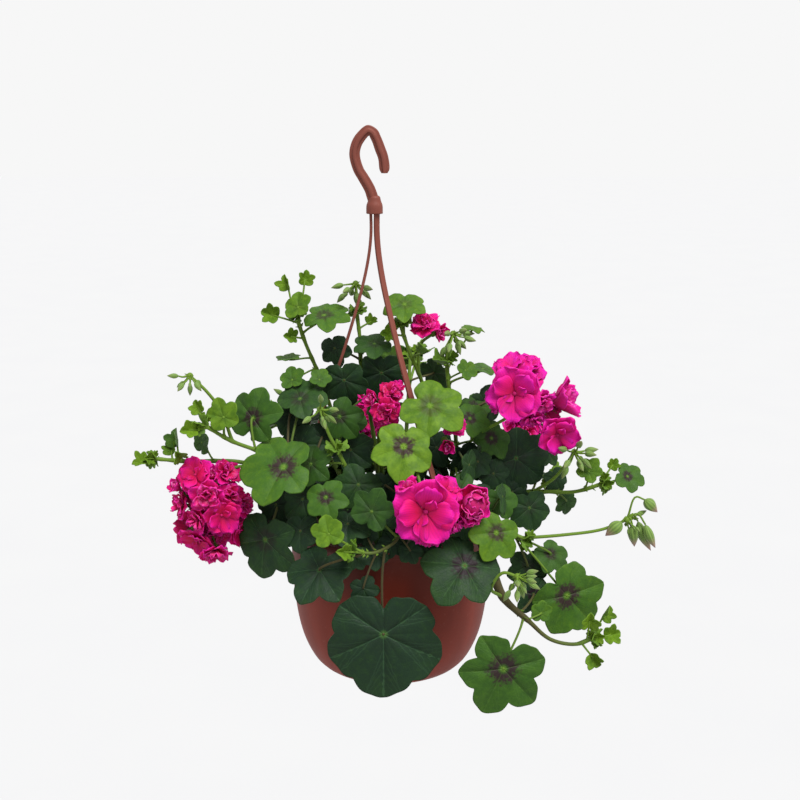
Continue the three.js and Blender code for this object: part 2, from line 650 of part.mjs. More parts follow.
function leafHeight(radius, curl) {
  return (u, v) => {
    const out = Math.hypot(u, v) / radius;
    return radius * out * out * (curl - WAVE * Math.cos((2 * Math.PI * Math.atan2(v, u)) / LOBE_TURN));
  };
}

function blade([x, y, z, azimuth, elevation, roll, radius, curl], grow) {
  const place = new THREE.Vector3(x, y, z);
  const frame = facing(azimuth, elevation, roll);
  const rings = radius > WIDE_LEAF ? [1, INNER_RING] : [1];
  return sheet(place, frame, leafOutline(radius), rings, leafHeight(radius, curl), BLADE, grow);
}

// A young leaf: blade and flat stalk in one sheet, its stalk's end sunk in the stem.
function youngLeaf(line, [x, y, z, azimuth, elevation, , radius, curl], grow) {
  const place = new THREE.Vector3(x, y, z);
  const { point } = nearestOn(line, place, YOUNG_BACK * radius);
  const away = place.clone().sub(point);
  const reach = away.length();
  const tip = away.normalize();
  const across = looking(azimuth, elevation).cross(tip).normalize();
  const frame = { tip, across, normal: tip.clone().cross(across) };
  const half = YOUNG_EDGE.map(([along, out]) => [radius * along, radius * out]);
  const stalk = [-reach, YOUNG_STALK / 2];
  const outline = [...half, stalk, [stalk[0], -stalk[1]], ...half.map(([u, v]) => [u, -v]).reverse()];
  const height = (u) => (curl * Math.max(u, 0) * Math.abs(u)) / radius;
  return flatSheet(place, frame, outline, height, BLADE, grow);
}

// A leaf-stalk: it leaves the stem a little before its nearest point and ends in the middle of the blade,
// coming in from the side that the stem lies on.
function petiole(line, [x, y, z, azimuth, elevation, , radius, curl], grow) {
  const normal = looking(azimuth, elevation);
  const middle = leafHeight(radius, curl)(-HUB_SHARE * radius, 0) - 0.5 * BLADE;
  const end = new THREE.Vector3(x, y, z).addScaledVector(normal, middle);
  const { point, along } = nearestOn(line, end, Math.min(BACK_SHARE * radius, LONGEST_BACK));
  const span = end.distanceTo(point);
  const side = point.clone().sub(end).dot(normal) < 0 ? -1 : 1;
  const first = point.clone().lerp(end, PETIOLE_LEAVING).addScaledVector(along, PETIOLE_LEAN * span);
  const last = end.clone().addScaledVector(normal, side * PETIOLE_ARRIVING * Math.min(span, radius));
  const path = new THREE.CubicBezierCurve3(point, first, last, end);
  const thick = radius < SMALL_LEAF ? THIN_SHARE : 1;
  return tube(path.getPoints(PETIOLE_STEPS), thick * PETIOLE_RADIUS + grow, 3, PETIOLE_STEPS);
}

const NEAREST_STEPS = 40;
const FIRST_SHARE = 0.12; // nothing leaves a stem nearer to its root
const LAST_SHARE = 0.995; // or nearer to its tip

// The stem's point nearest to a place, moved back towards the root, and the way the stem runs there.
function nearestOn(line, place, back) {
  const length = line.getLength();
  let best = 0;
  for (let i = 0; i <= NEAREST_STEPS; i++) {
    const here = i / NEAREST_STEPS;
    if (line.getPointAt(here).distanceTo(place) < line.getPointAt(best).distanceTo(place)) best = here;
  }
  const share = Math.min(Math.max(best - back / length, FIRST_SHARE), LAST_SHARE);
  return { point: line.getPointAt(share), along: line.getTangentAt(share) };
}

const BUD_WIDEST = 0.45; // where along its length a bud is widest
const BUD_LENGTH = 0.5; // shares of the umbel's reach
const BUD_RADIUS = 0.17;
const BUD_STALKS = [0.4, 0.55, 0.7];
const BUD_SPREAD = 80; // degrees from the way the umbel looks
const KNOB_SINK = 0.55; // share of the knob at which a bud's stalk begins

// A bud on its stalk, from the umbel's middle outwards.
function bud(from, way, stalk, length, radius, grow) {
  const thin = PEDICEL_RADIUS + grow;
  const profile = [
    [0, -grow], [thin, -grow], [thin, stalk],
    [radius + grow, stalk + BUD_WIDEST * length], [0, stalk + length + grow],
  ];
  const turned = new THREE.LatheGeometry(profile.map(([r, h]) => new THREE.Vector2(r, h)), BUD_SIDES);
  turned.applyQuaternion(new THREE.Quaternion().setFromUnitVectors(new THREE.Vector3(0, 1, 0), way));
  return solid(turned.translate(from.x, from.y, from.z));
}

// Even directions round one that is looked in, each a share of a half turn away at most.
function spread(count, azimuth, elevation, widest) {
  const { tip, across, normal } = facing(azimuth, elevation, 0);
  const golden = Math.PI * (3 - Math.sqrt(5));
  return Array.from({ length: count }, (_, i) => {
    const lean = widest * Math.sqrt((i + 0.5) / count);
    const turn = i * golden;
    return normal
      .clone()
      .multiplyScalar(Math.cos(lean))
      .addScaledVector(tip, Math.sin(lean) * Math.cos(turn))
      .addScaledVector(across, Math.sin(lean) * Math.sin(turn));
  });
}

function umbel({ centre, az, el, reach, buds }, grow) {
  const middle = new THREE.Vector3(...centre);
  const knob = solid(new THREE.OctahedronGeometry(KNOB + grow, 0).translate(...centre));
  const made = spread(buds, az, el, BUD_SPREAD * DEG).map((way, i) => {
    const foot = middle.clone().addScaledVector(way, KNOB_SINK * KNOB);
    const stalk = reach * BUD_STALKS[i % BUD_STALKS.length];
    return bud(foot, way, stalk, BUD_LENGTH * reach, BUD_RADIUS * reach, grow);
  });
  return [knob, ...made];
}

const PETALS = 5;
// The rings of a floret, in shares of its radius: how far out and how high its line lies at the middle of
// an outer petal, and between two.
const RIM = { petal: [1, 0.62], between: [0.74, 0.5] };
const CREASE = [0.3, 0.44]; // where the inner petals rise out of the outer ones
const CREST = { petal: [0.36, 0.7], between: [0.56, 0.86] };
const HEART = 0.5; // height of its middle
// A grown floret is plainer: the crease is filled, and its middle raised.
const FILLED_CREASE = [0.7, 0.78];
const FILLED_HEART = 0.88;

// One floret: five broad outer petals and, turned between them, five upright inner ones.
function floret(foot, azimuth, elevation, radius, grow) {
  const { tip, across, normal } = facing(azimuth, elevation, 0);
  const at = (r, h, turn) =>
    foot
      .clone()
      .addScaledVector(tip, r * Math.cos(turn))
      .addScaledVector(across, r * Math.sin(turn))
      .addScaledVector(normal, h);
  const [creaseOut, creaseHigh] = grow ? FILLED_CREASE : CREASE;
  const rings = (where) => {
    const [rimOut, rimHigh] = RIM[where];
    const [crestOut, crestHigh] = CREST[where];
    return [
      [rimOut * radius + grow, rimHigh * radius - PETAL - grow],
      [rimOut * radius + grow, rimHigh * radius + grow],
      [creaseOut * radius + grow, creaseHigh * radius],
      [crestOut * radius + grow, crestHigh * radius + grow],
    ];
  };
  const columns = 2 * PETALS;
  const heart = (grow ? FILLED_HEART : HEART) * radius + grow;
  const vertices = [at(0, -grow, 0), at(0, heart, 0)];
  for (let i = 0; i < columns; i++)
    for (const [r, h] of rings(i % 2 ? "between" : "petal")) vertices.push(at(r, h, (Math.PI * i) / PETALS));
  const index = [];
  for (let i = 0; i < columns; i++) {
    const a = 2 + 4 * i;
    const b = 2 + 4 * ((i + 1) % columns);
    index.push(0, b, a, 1, a + 3, b + 3);
    for (let ring = 0; ring < 3; ring++)
      index.push(a + ring, b + ring, b + ring + 1, a + ring, b + ring + 1, a + ring + 1);
  }
  return solid(new THREE.BufferGeometry().setFromPoints(vertices).setIndex(index));
}

const CORE_SINK = 0.78; // share of the core's radius at which a floret's foot lies

// The florets of a head stand out of a small core; a tall head's are stretched upwards.
function bloomParts({ centre, core, tall, florets }, grow) {
  const middle = new THREE.Vector3(...centre);
  const heart = new THREE.IcosahedronGeometry(core + grow, 0).scale(1, 1, tall);
  const made = florets.map(([azimuth, elevation, radius]) => {
    const out = looking(azimuth, elevation).multiplyScalar(CORE_SINK * core);
    out.z *= tall;
    return floret(middle.clone().add(out), azimuth, elevation, radius, grow);
  });
  return [solid(heart.translate(...centre)), ...made];
}

// ---- Putting the plant together ----

function route(points) {
  const places = points.map(([x, y, z]) => new THREE.Vector3(x, y, z ?? ROOT_Z));
  return new THREE.CatmullRomCurve3(places, false, "centripetal");
}

const SWAY = 12; // how far sideways a stem behind bends at most
const BACK_UMBEL = { el: 10, reach: 18, buds: 5 };
const BACK_CORE = 19; // radius of the core of a bloom behind
const BACK_SHOULDER = 200; // half of this and half of the crest is the height of a stem's middle
const BACK_FALL = 0.55; // how much of the way from the crest to the tip it has fallen before its last part
const LEAF_FROM = 0.34; // shares of a stem behind between which its leaves stand
const LEAF_SPAN = 0.6;
const LEAF_SHRINK = 8; // how much smaller the leaf at its tip is than one at its root
const BACK_CURL = -0.09;
// Between what limits a leaf behind is drawn: its radius, how far aside of, out from and above the stem it
// stands, in shares of its radius, and how it looks.
const LEAF_DRAWS = {
  radius: [29, 34], aside: [0.8, 1.1], out: [0.3, 0.9], up: [-0.5, 0.9],
  azimuth: [-15, 15], elevation: [5, 55], roll: [-50, 50],
};
// The same for the young leaf at its tip, in millimetres.
const YOUNG_DRAWS = {
  out: [4, 14], aside: [-12, 12], up: [2, 12],
  azimuth: [-40, 40], elevation: [10, 40], roll: [120, 240], radius: [8, 12],
};
const YOUNG_CURL = 0.2;

// A stem behind: it rises from its root, arches over the rim and falls or climbs to its tip.
function backStem({ az, root, reach, tip, seed, ends }) {
  const draw = dice(seed);
  const out = new THREE.Vector3(Math.cos(az * DEG), Math.sin(az * DEG), 0);
  const side = new THREE.Vector3(-out.y, out.x, 0);
  const sway = draw(-SWAY, SWAY);
  const crest = Math.max(tip, BACK_CREST);
  const at = (share, z, bend) =>
    out.clone().multiplyScalar(root + share * (reach - root)).addScaledVector(side, bend * sway).setZ(z);
  const middle = 0.5 * (crest + BACK_SHOULDER);
  const fallen = (1 - BACK_FALL) * crest + BACK_FALL * tip;
  const line = [
    at(0, ROOT_Z, 0), at(0.12, BACK_RISE, 0.2), at(0.5, middle, 0.6), at(0.8, fallen, 0.9), at(1, tip, 1),
  ].map((place) => place.toArray());
  const curve = route(line);
  const leaves = [];
  for (let i = 0; i < BACK_LEAVES; i++) {
    const share = LEAF_FROM + (LEAF_SPAN * i) / (BACK_LEAVES - 1);
    const hand = i % 2 ? 1 : -1;
    const radius = draw(...LEAF_DRAWS.radius) - LEAF_SHRINK * share;
    const place = curve
      .getPointAt(share)
      .addScaledVector(side, hand * draw(...LEAF_DRAWS.aside) * radius)
      .addScaledVector(out, draw(...LEAF_DRAWS.out) * radius);
    place.z += draw(...LEAF_DRAWS.up) * radius;
    const outwards = Math.atan2(place.y, place.x) / DEG + 90;
    const azimuth = outwards + draw(...LEAF_DRAWS.azimuth);
    const elevation = draw(...LEAF_DRAWS.elevation);
    const roll = hand * draw(...LEAF_DRAWS.roll);
    leaves.push([...place.toArray(), azimuth, elevation, roll, radius, BACK_CURL]);
  }
  const young = curve.getPointAt(1).addScaledVector(out, draw(...YOUNG_DRAWS.out));
  young.addScaledVector(side, draw(...YOUNG_DRAWS.aside));
  young.z += draw(...YOUNG_DRAWS.up);
  const turned = [az + 90 + draw(...YOUNG_DRAWS.azimuth), draw(...YOUNG_DRAWS.elevation)];
  turned.push(draw(...YOUNG_DRAWS.roll), draw(...YOUNG_DRAWS.radius));
  leaves.push([...young.toArray(), ...turned, YOUNG_CURL]);
  const start = curve.getPointAt(HEAD_SHARE + HEAD_LEAD);
  const bend = start.clone().addScaledVector(out, BEND_OUT * HEAD_OUT);
  bend.z += BEND_UP * HEAD_UP;
  const centre = start.clone().addScaledVector(out, HEAD_OUT);
  centre.z += HEAD_UP;
  const stalk = { at: HEAD_SHARE, via: [bend.toArray()], centre: centre.toArray() };
  const stem = { route: line, leaves };
  if (ends === "buds") return { ...stem, umbels: [{ ...stalk, ...BACK_UMBEL, az: az + 90 }] };
  return { ...stem, bloom: { ...stalk, core: BACK_CORE, tall: 1, florets: roundHead(az + 90, draw) } };
}

const ROUND_FLORETS = 4;
const ROUND_RADIUS = [16, 18];
const ROUND_SPREAD = 75; // degrees from the way the head looks
const ROUND_LOOK = 20; // degrees above the level that it looks

// Florets evenly round the outer side of a head.
function roundHead(azimuth, draw) {
  return spread(ROUND_FLORETS, azimuth, ROUND_LOOK, ROUND_SPREAD * DEG).map((way) => {
    return [Math.atan2(way.x, -way.y) / DEG, Math.asin(way.z) / DEG, draw(...ROUND_RADIUS)];
  });
}

const ALL_STEMS = { ...STEMS };
for (const [name, plan] of Object.entries(BACK_STEMS)) {
  ALL_STEMS[name] = backStem(plan);
  if (ALL_STEMS[name].bloom) ALL_STEMS[name].bloom.name = name.replace("back", "bloom_back");
}

// The stem with its stalks and buds, and apart from them its leaf blades: each a function of its growth.
function stemParts({ route: points, leaves, umbels = [], bloom, bloom2 }) {
  const line = route(points);
  const heads = [bloom, bloom2].filter(Boolean);
  const steps = points.length + 1;
  const stalks = [(grow) => [tube(line.getSpacedPoints(steps), STEM_RADIUS + grow, 5, steps)]];
  const grown = leaves.filter(([, , , , , , radius]) => radius > YOUNG);
  const young = leaves.filter(([, , , , , , radius]) => radius <= YOUNG);
  for (const leaf of grown) stalks.push((grow) => [petiole(line, leaf, grow)]);
  for (const { at, via, centre } of [...umbels, ...heads]) {
    const places = [line.getPointAt(at), ...[...via, centre].map((p) => new THREE.Vector3(...p))];
    stalks.push((grow) => [tube(places, PEDUNCLE_RADIUS + grow, 4, places.length)]);
  }
  for (const one of umbels) stalks.push((grow) => umbel(one, grow));
  const blades = grown.map((leaf) => (grow) => blade(leaf, grow));
  for (const leaf of young) blades.push((grow) => youngLeaf(line, leaf, grow));
  return { stalks, blades, heads };
}

const group = new THREE.Group();
group.name = "ivy_geranium_hanging_basket";
group.position.copy(SEAT).negate();

const plant = Object.entries(ALL_STEMS).map(([name, stem]) => ({ name, ...stemParts(stem) }));
for (const one of plant) {
  one.skeleton = one.stalks.flatMap((make) => make(0));
  one.grownSkeleton = one.stalks.flatMap((make) => make(CLEAR));
}

const straps = Object.entries(STRAP_AZIMUTHS).map(([name, azimuth]) => {
  return { name, made: strap(azimuth, 0), grown: strap(azimuth, CLEAR) };
});
const potSolid = pot();
const fixtures = [...straps.map(({ grown }) => grown), potGrown()];

group.add(meshOf("pot", potSolid, LOOKS.pot));
group.add(meshOf("soil", soil(plant.map(({ stalks }) => stalks[0](CLEAR)[0])), LOOKS.soil));
group.add(meshOf("hook", hook(), LOOKS.hanger));
for (const { name, made } of straps) group.add(meshOf(name, made, LOOKS.hanger));

const earlier = [];
for (const one of plant)
  for (const head of one.heads) {
    const others = plant.flatMap(({ grownSkeleton }) => grownSkeleton);
    const cutters = [...others, ...fixtures, ...earlier];
    const pieces = bloomParts(head, 0);
    const whole = largest(joined(pieces.map((piece) => cutBy(piece, cutters))));
    group.add(meshOf(head.name, whole, LOOKS.petal));
    earlier.push(...bloomParts(head, CLEAR));
  }

for (const one of plant) {
  const others = plant.filter((other) => other !== one).flatMap(({ grownSkeleton }) => grownSkeleton);
  const cutters = [...others, ...fixtures, ...earlier];
  const blades = one.blades.map((make) => largest(cutBy(make(0), cutters)));
  const whole = largest(joined([...one.skeleton, ...blades]));
  group.add(meshOf("stem_" + one.name, whole, LOOKS.leaf));
  earlier.push(...one.blades.map((make) => make(CLEAR)));
}

export default group;
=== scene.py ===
import json
from bisect import bisect_left
from functools import partial
from math import acos, asin, atan2, cos, degrees, exp, hypot, pi, radians, sin, sqrt

import bmesh
import bpy
from mathutils import Matrix, Vector

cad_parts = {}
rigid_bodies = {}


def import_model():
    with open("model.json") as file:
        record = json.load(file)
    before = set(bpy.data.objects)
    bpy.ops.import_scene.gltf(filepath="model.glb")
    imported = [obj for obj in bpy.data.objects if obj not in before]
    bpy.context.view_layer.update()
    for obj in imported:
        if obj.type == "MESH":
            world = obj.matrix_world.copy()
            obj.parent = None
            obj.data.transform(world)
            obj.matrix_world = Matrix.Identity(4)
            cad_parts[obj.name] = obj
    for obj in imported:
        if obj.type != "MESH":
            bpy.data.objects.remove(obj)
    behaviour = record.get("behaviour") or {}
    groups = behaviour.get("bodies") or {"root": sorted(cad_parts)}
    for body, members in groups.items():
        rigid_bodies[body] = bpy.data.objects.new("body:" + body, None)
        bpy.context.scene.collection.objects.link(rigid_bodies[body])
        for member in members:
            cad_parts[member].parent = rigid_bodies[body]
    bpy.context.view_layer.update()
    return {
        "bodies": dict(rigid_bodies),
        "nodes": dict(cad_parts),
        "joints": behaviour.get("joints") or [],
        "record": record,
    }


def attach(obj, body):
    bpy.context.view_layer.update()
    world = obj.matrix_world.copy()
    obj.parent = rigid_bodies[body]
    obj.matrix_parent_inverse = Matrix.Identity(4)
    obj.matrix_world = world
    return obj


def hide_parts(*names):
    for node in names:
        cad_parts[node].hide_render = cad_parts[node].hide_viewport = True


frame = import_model()

scene = bpy.context.scene
MM = 0.001
SEAT = Vector((-20, 0, 536))  # the hook's seat in the pot's frame
TO_SEAT = Matrix.Scale(MM, 4) @ Matrix.Translation(-SEAT)
UP = Vector((0, 0, 1))


def in_scene(name, data):
    """A new object that is part of the scene."""
    made = bpy.data.objects.new(name, data)
    scene.collection.objects.link(made)
    return made


# ---- Camera ----

EYE = Vector((9.5, -1100, 560))
LOOKS_DOWN = 14.5  # degrees

camera = in_scene("camera", bpy.data.cameras.new("camera"))
camera.data.lens = 50.5
camera.data.sensor_width = 36
camera.location = TO_SEAT @ EYE
camera.rotation_euler = (radians(90 - LOOKS_DOWN), 0, 0)
scene.camera = camera
scene.view_settings.view_transform = "Standard"

# ---- The plant's layout ----
# A route is the line of a stem from root to tip; a place without a height lies at the root's.
# A leaf: place, azimuth and height that its face looks in, turn of its tip from straight down, radius,
# tone (0 young and bright, 1 old and dark; on a few leaves a dark tone also paints the shade they lie in),
# strength of the brown zone round its middle, and its curl where it isn't the usual 0.2 of a folded leaf
# or -0.1 of an open one.
# An umbel: where its stalk leaves the stem, the stalk's way, centre, azimuth, height, reach, and its buds:
# how many, or each one's foot, tip and half breadth.
# A bloom: where its stalk leaves, the stalk's way, centre, florets (place, azimuth and height that each
# looks in, radius, and its kind where it isn't ragged).

ROOT_Z = 122
FOLDED = 12  # largest radius of a leaf that is still folded
STEMS = {
    "left_shoot": dict(
        route=[
            (-42, -28), (-60, -40, 180), (-90, -56, 218), (-121, -68, 240), (-152, -80, 257),
            (-174, -85, 273),
        ],
        leaves=[
            (-100, -96, 236, -15, 48, -78, 43, 0.34, 1), (-132, -60, 273, -25, 18, 170, 32, 0.5, 1, -0.08),
            (-89, -30, 285, -15, 52, 150, 30, 0.7, 0.6), (-156, -86, 281, -10, 15, 200, 19, 0.12, 0.1, 0.1),
            (-186, -92, 270, -20, 20, 250, 10, 0, 0), (-180, -78, 288, -10, 10, 190, 9, 0, 0),
            (-90, -32, 238, -10, 12, 30, 27, 0.95, 0.3), (-100, -20, 266, -5, 20, 40, 24, 0.95, 0.2),
            (-68, -30, 245, 0, 15, -20, 20, 0.97, 0.2),
        ],
        umbels=[(0.86, [(-160, -74, 284), (-172, -76, 303)], (-187, -78, 319), -60, -65, 15, 6)],
    ),
    "left_lower": dict(
        route=[
            (-62, -8), (-84, -20, 178), (-118, -40, 212), (-147, -54, 227), (-199, -64, 231),
            (-226, -66, 234),
        ],
        leaves=[
            (-121, -85, 158, -25, 5, -10, 40, 0.85, 0.6, -0.12),
            (-184, -52, 246, -48, 5, 180, 16, 0.5, 0, 0.1), (-239, -68, 231, -60, 20, 200, 10, 0.05, 0),
            (-212, -58, 240, -20, 30, 180, 9, 0.2, 0), (-206, -58, 251, -50, 20, 170, 12, 0.35, 0, 0.15),
            (-202, -74, 240, 10, 10, 120, 9, 0.05, 0, 0.15), (-85, -72, 195, -20, 20, 20, 27, 0.9, 0.3),
            (-113, -55, 183, -15, 15, 30, 24, 0.95, 0.3), (-86, -92, 170, -25, 30, 10, 23, 0.95, 0.2),
        ],
        blooms={
            "bloom_left": (0.52, [(-150, -62, 224), (-164, -66, 212)], (-173, -70, 184), [
                (-187, -84, 225, -20, 35, 19, "open"), (-158, -72, 223, 30, 45, 17),
                (-173, -97, 206, -5, 5, 19), (-204, -74, 189, -70, 5, 17),
                (-159, -97, 186, 20, -5, 19, "open"), (-143, -66, 188, 60, 10, 15),
                (-189, -84, 154, -25, -30, 19, "open"), (-145, -68, 158, 55, -10, 16, "open"),
                (-169, -82, 143, 10, -45, 18), (-179, -44, 205, 160, 50, 19, "open"),
                (-202, -54, 160, -130, -10, 19), (-155, -50, 163, 140, -10, 18, "open"),
                (-178, -54, 141, 180, -50, 18), (-185, -92, 181, -35, -10, 15),
                (-207, -72, 208, -60, 40, 12, "bell"), (-168, -66, 182, 30, 20, 18),
                (-176, -76, 180, -10, 0, 24), (-170, -70, 160, 10, -30, 21), (-192, -70, 200, -40, 15, 18),
                (-152, -82, 203, 25, 20, 16), (-171, -78, 221, 0, 55, 13, "bell"),
            ]),
        },
    ),
    "upper_left": dict(
        route=[(-26, 24), (-44, 24, 200), (-62, 20, 262), (-73, 14, 298), (-86, 5, 335), (-93, 0, 360)],
        leaves=[
            (-66, 0, 363, -10, 68, 80, 29, 0.3, 0.7, -0.08), (-91, -8, 372, -30, 35, 200, 18, 0.15, 0.2, 0.1),
            (-103, 4, 318, -70, 84, 250, 15, 0.3, 0, 0.1), (-102, 8, 392, -40, 20, 190, 10, 0.05, 0, 0.3),
            (-85, 10, 397, 20, 15, 150, 10, 0.05, 0, 0.3), (-118, 4, 362, -60, 25, 230, 12, 0.1, 0),
            (-98, -14, 300, -20, 40, 200, 15, 0.35, 0.2, 0.1),
            (-70, -22, 302, 10, 45, 150, 13, 0.35, 0.2, 0.1), (-99, -2, 341, -30, 20, 230, 9, 0.1, 0),
        ],
    ),
    "top_centre": dict(
        route=[(-4, 34), (-14, 30, 200), (-24, 21, 270), (-30, 15, 304), (-31, 14, 335), (-34, 15, 362)],
        leaves=[
            (-16, 0, 334, 0, 66, -60, 24, 0.65, 0.4, -0.08), (-46, -17, 300, -10, -4, 10, 29, 0.9, 0.2),
            (-9, -6, 305, 10, -5, -10, 31, 0.95, 0.2), (-50, -36, 268, -8, 14, 40, 25, 0.6, 0.7),
            (-20, 20, 352, 20, 50, 90, 8, 0.1, 0), (-57, 14, 326, -20, 10, 20, 20, 0.9, 0.2),
        ],
        umbels=[(0.97, [(-34, 18, 376)], (-35, 21, 391), -20, -75, 18, 8)],
    ),
    "upper_right": dict(
        route=[(20, 14), (34, 12, 200), (38, 8, 260), (32, 5, 292), (19, 1, 325), (10, 0, 352)],
        leaves=[
            (14, -1, 374, 0, 58, 0, 25, 0.22, 0.35, -0.05), (-1, -4, 344, -30, 20, 250, 10, 0.1, 0, 0.1),
            (33, -20, 328, 40, 45, 100, 11, 0.2, 0, 0.1),
        ],
        blooms={
            "bloom_top": (0.78, [(30, 0, 333)], (42, -2, 344), [
                (34, -4, 355, -25, 50, 18), (49, 0, 345, 55, -5, 13, "bell"),
            ]),
        },
    ),
    "centre_back": dict(
        route=[(-2, 8), (-8, 0, 190), (-12, -12, 240), (-8, -22, 270)],
        leaves=[
            (-40, -30, 232, -20, 20, 60, 27, 0.95, 0.2), (20, -30, 226, 15, 15, -30, 29, 0.85, 0.2),
        ],
        blooms={
            "bloom_centre": (0.97, [], (-6, -42, 283), [
                (-4, -58, 277, -5, -5, 18), (1, -48, 295, 15, 40, 14), (-18, -46, 288, -55, 20, 12, "bell"),
                (-6, -50, 262, -10, -55, 12), (8, -42, 299, 35, 60, 9, "bell"),
            ]),
        },
    ),
    "right_upper": dict(
        route=[(46, 4), (60, -2, 180), (66, -13, 230), (62, -16, 270), (57, -15, 302), (56, -13, 318)],
        leaves=[
            (38, -68, 288, 0, 44, 55, 37, 0.15, 0.55, -0.12), (78, -42, 268, 15, 42, 60, 22, 0.4, 1),
            (93, 2, 308, 60, 80, 90, 20, 0.35, 0.3, -0.05), (82, -2, 350, 60, 78, 90, 14, 0.2, 0),
            (76, -76, 231, 62, 5, 0, 21, 0.8, 0, -0.05), (100, -36, 246, 25, 25, 30, 24, 0.55, 1),
            (66, -94, 210, 15, 20, 20, 26, 0.6, 0.4), (74, -24, 312, 30, 30, 120, 13, 0.25, 0, 0.1),
            (46, -32, 322, -20, 35, 200, 11, 0.2, 0, 0.1), (96, 0, 274, 20, 12, 30, 22, 0.9, 0.3),
            (74, -32, 226, 5, 10, 20, 20, 0.95, 0.3), (84, -8, 271, 25, 35, 20, 21, 0.5, 0.8),
            (46, -25, 233, 0, 15, 20, 22, 0.97, 0.2), (86, -50, 226, 10, 20, -20, 18, 0.9, 0.2),
            (102, -45, 212, 15, 15, 30, 20, 0.95, 0.2),
        ],
        umbels=[(0.97, [(56, -12, 330)], (62, -11, 346), 40, -40, 18, 8)],
        blooms={
            "bloom_right": (0.5, [(88, -34, 250), (108, -46, 266)], (136, -56, 287), [
                (116, -88, 304, -8, 10, 27, "open"), (117, -64, 322, -12, 50, 20, "open"),
                (135, -48, 317, 30, 48, 19, "open"), (170, -50, 289, 70, 24, 27, "bell"),
                (162, -66, 256, 12, -12, 22, "open"), (144, -62, 288, 25, -15, 17),
                (129, -36, 297, 170, 20, 21), (155, -34, 274, 120, -10, 20), (101, -66, 291, -60, -15, 15),
                (137, -60, 271, 10, -40, 14), (111, -56, 326, -30, 66, 14, "open"),
                (134, -44, 325, 25, 66, 13, "open"),
            ]),
            "bloom_middle": (0.42, [(62, -44, 242)], (52, -68, 254), [
                (62, -66, 268, 15, 25, 14), (55, -70, 248, -10, -15, 11, "bell"),
            ]),
        },
    ),
    "right_long": dict(
        route=[(62, -4), (92, -10, 166), (128, -22, 184), (155, -30, 188), (184, -36, 190), (211, -38, 199)],
        leaves=[
            (236, -38, 207, 20, 42, 60, 19, 0.4, 1, 0.05), (195, -50, 216, -15, 30, 150, 15, 0.2, 0.1, 0.1),
            (126, -26, 222, 12, 14, 50, 38, 0.95, 0.3), (138, -50, 178, 15, 8, 10, 26, 0.85, 0.3),
            (178, -24, 176, 30, 0, 10, 16, 0.7, 0), (222, -30, 216, 50, 50, 120, 8, 0.1, 0),
            (158, -8, 226, 30, 25, 90, 22, 0.8, 0.2), (122, -34, 189, 10, 15, 0, 22, 0.95, 0.2),
            (166, -26, 201, 25, 15, 20, 16, 0.9, 0.2),
        ],
        umbels=[(0.62, [(162, -42, 206), (174, -50, 226)], (180, -50, 236), 20, -20, 19, 8)],
    ),
    "right_reach": dict(
        route=[(70, -26), (78, -38, 152), (90, -53, 170), (106, -66, 164), (131, -75, 155)],
        leaves=[
            (100, -112, 176, 14, 25, -30, 28, 0.2, 0.9, -0.08),
            (158, -66, 136, 20, 42, 30, 21, 0.5, 0.9, -0.08), (108, -84, 202, 75, 12, 0, 20, 0.75, 0, -0.05),
            (136, -66, 123, 0, 10, 0, 24, 0.85, 0.5), (173, -86, 100, 14, 6, 40, 43, 0.36, 1, -0.06),
            (84, -66, 196, 10, 40, 0, 22, 0.9, 0.2), (107, -64, 192, 20, 25, 20, 22, 0.5, 0.2),
            (69, -97, 180, 10, 35, 10, 18, 0.85, 0.3),
        ],
        umbels=[(0.98, [(168, -77, 160), (205, -78, 166)], (229, -78, 176), 60, -35, 22, [
            ((224, -80, 175), (209, -82, 160), 6.4), ((245, -76, 196), (259, -76, 184), 5.8),
            ((234, -80, 172), (238, -80, 148), 5.2), ((240, -76, 174), (252, -76, 141), 5.4),
            ((246, -82, 173), (254, -84, 148), 4.8),
        ])],
        blooms={
            "bloom_opening": (0.3, [(88, -76, 184), (86, -104, 196)], (76, -118, 205), [
                (78, -124, 208, 20, 8, 22, "cup"), (77, -118, 193, 20, -35, 15),
            ]),
        },
    ),
    "right_lower": dict(
        route=[
            (58, -46), (66, -60, 152), (80, -84, 165), (96, -103, 138), (108, -112, 110), (132, -116, 88),
            (154, -115, 68), (178, -115, 63), (194, -113, 68),
        ],
        leaves=[
            # The second leaf, at (70, -124, 148), has a dark tone that paints the shade over its upper part.
            (106, -150, 55, 2, 4, -22, 48, 0.5, 1, -0.06), (70, -124, 148, 8, 44, -40, 42, 0.85, 1),
            (212, -110, 70, 40, 30, 90, 11, 0.05, 0), (190, -118, 88, 0, 20, 180, 11, 0.05, 0),
            (206, -106, 90, 60, 20, 150, 10, 0.1, 0), (196, -116, 49, -20, 10, 0, 10, 0.1, 0),
            (145, -108, 92, 10, 20, 170, 13, 0.3, 0.1, 0.1), (141, -78, 98, 10, 10, 20, 23, 0.9, 1),
        ],
        umbels=[(0.56, [(95, -127, 126), (105, -132, 144)], (118, -136, 142), 50, -50, 17, 10)],
    ),
    "front": dict(
        route=[(4, -58), (8, -80, 155), (9, -102, 171), (4, -120, 169), (-14, -127, 162), (-34, -130, 164)],
        leaves=[
            (-6, -136, 83, 0, 4, 0, 63, 1, 0.1, -0.07), (-17, -118, 199, -14, 16, 160, 26, 0.65, 0.2, 0.1),
            (-66, -122, 143, -14, 46, -20, 37, 0.97, 0.2, -0.12),
            (-56, -136, 184, -15, 25, 200, 18, 0.12, 0, 0.05), (-42, -140, 168, -10, 20, 150, 9, 0.05, 0),
            # The small near-black leaves below, round the rim, also paint the shade at the pot's mouth.
            (37, -104, 162, 15, 50, -30, 17, 0.95, 0.3), (-23, -104, 173, -5, 30, 10, 15, 0.95, 0.2),
            (-25, -124, 125, -5, 12, 20, 17, 0.98, 0.1), (-14, -116, 157, 5, 40, 0, 16, 0.97, 0.1),
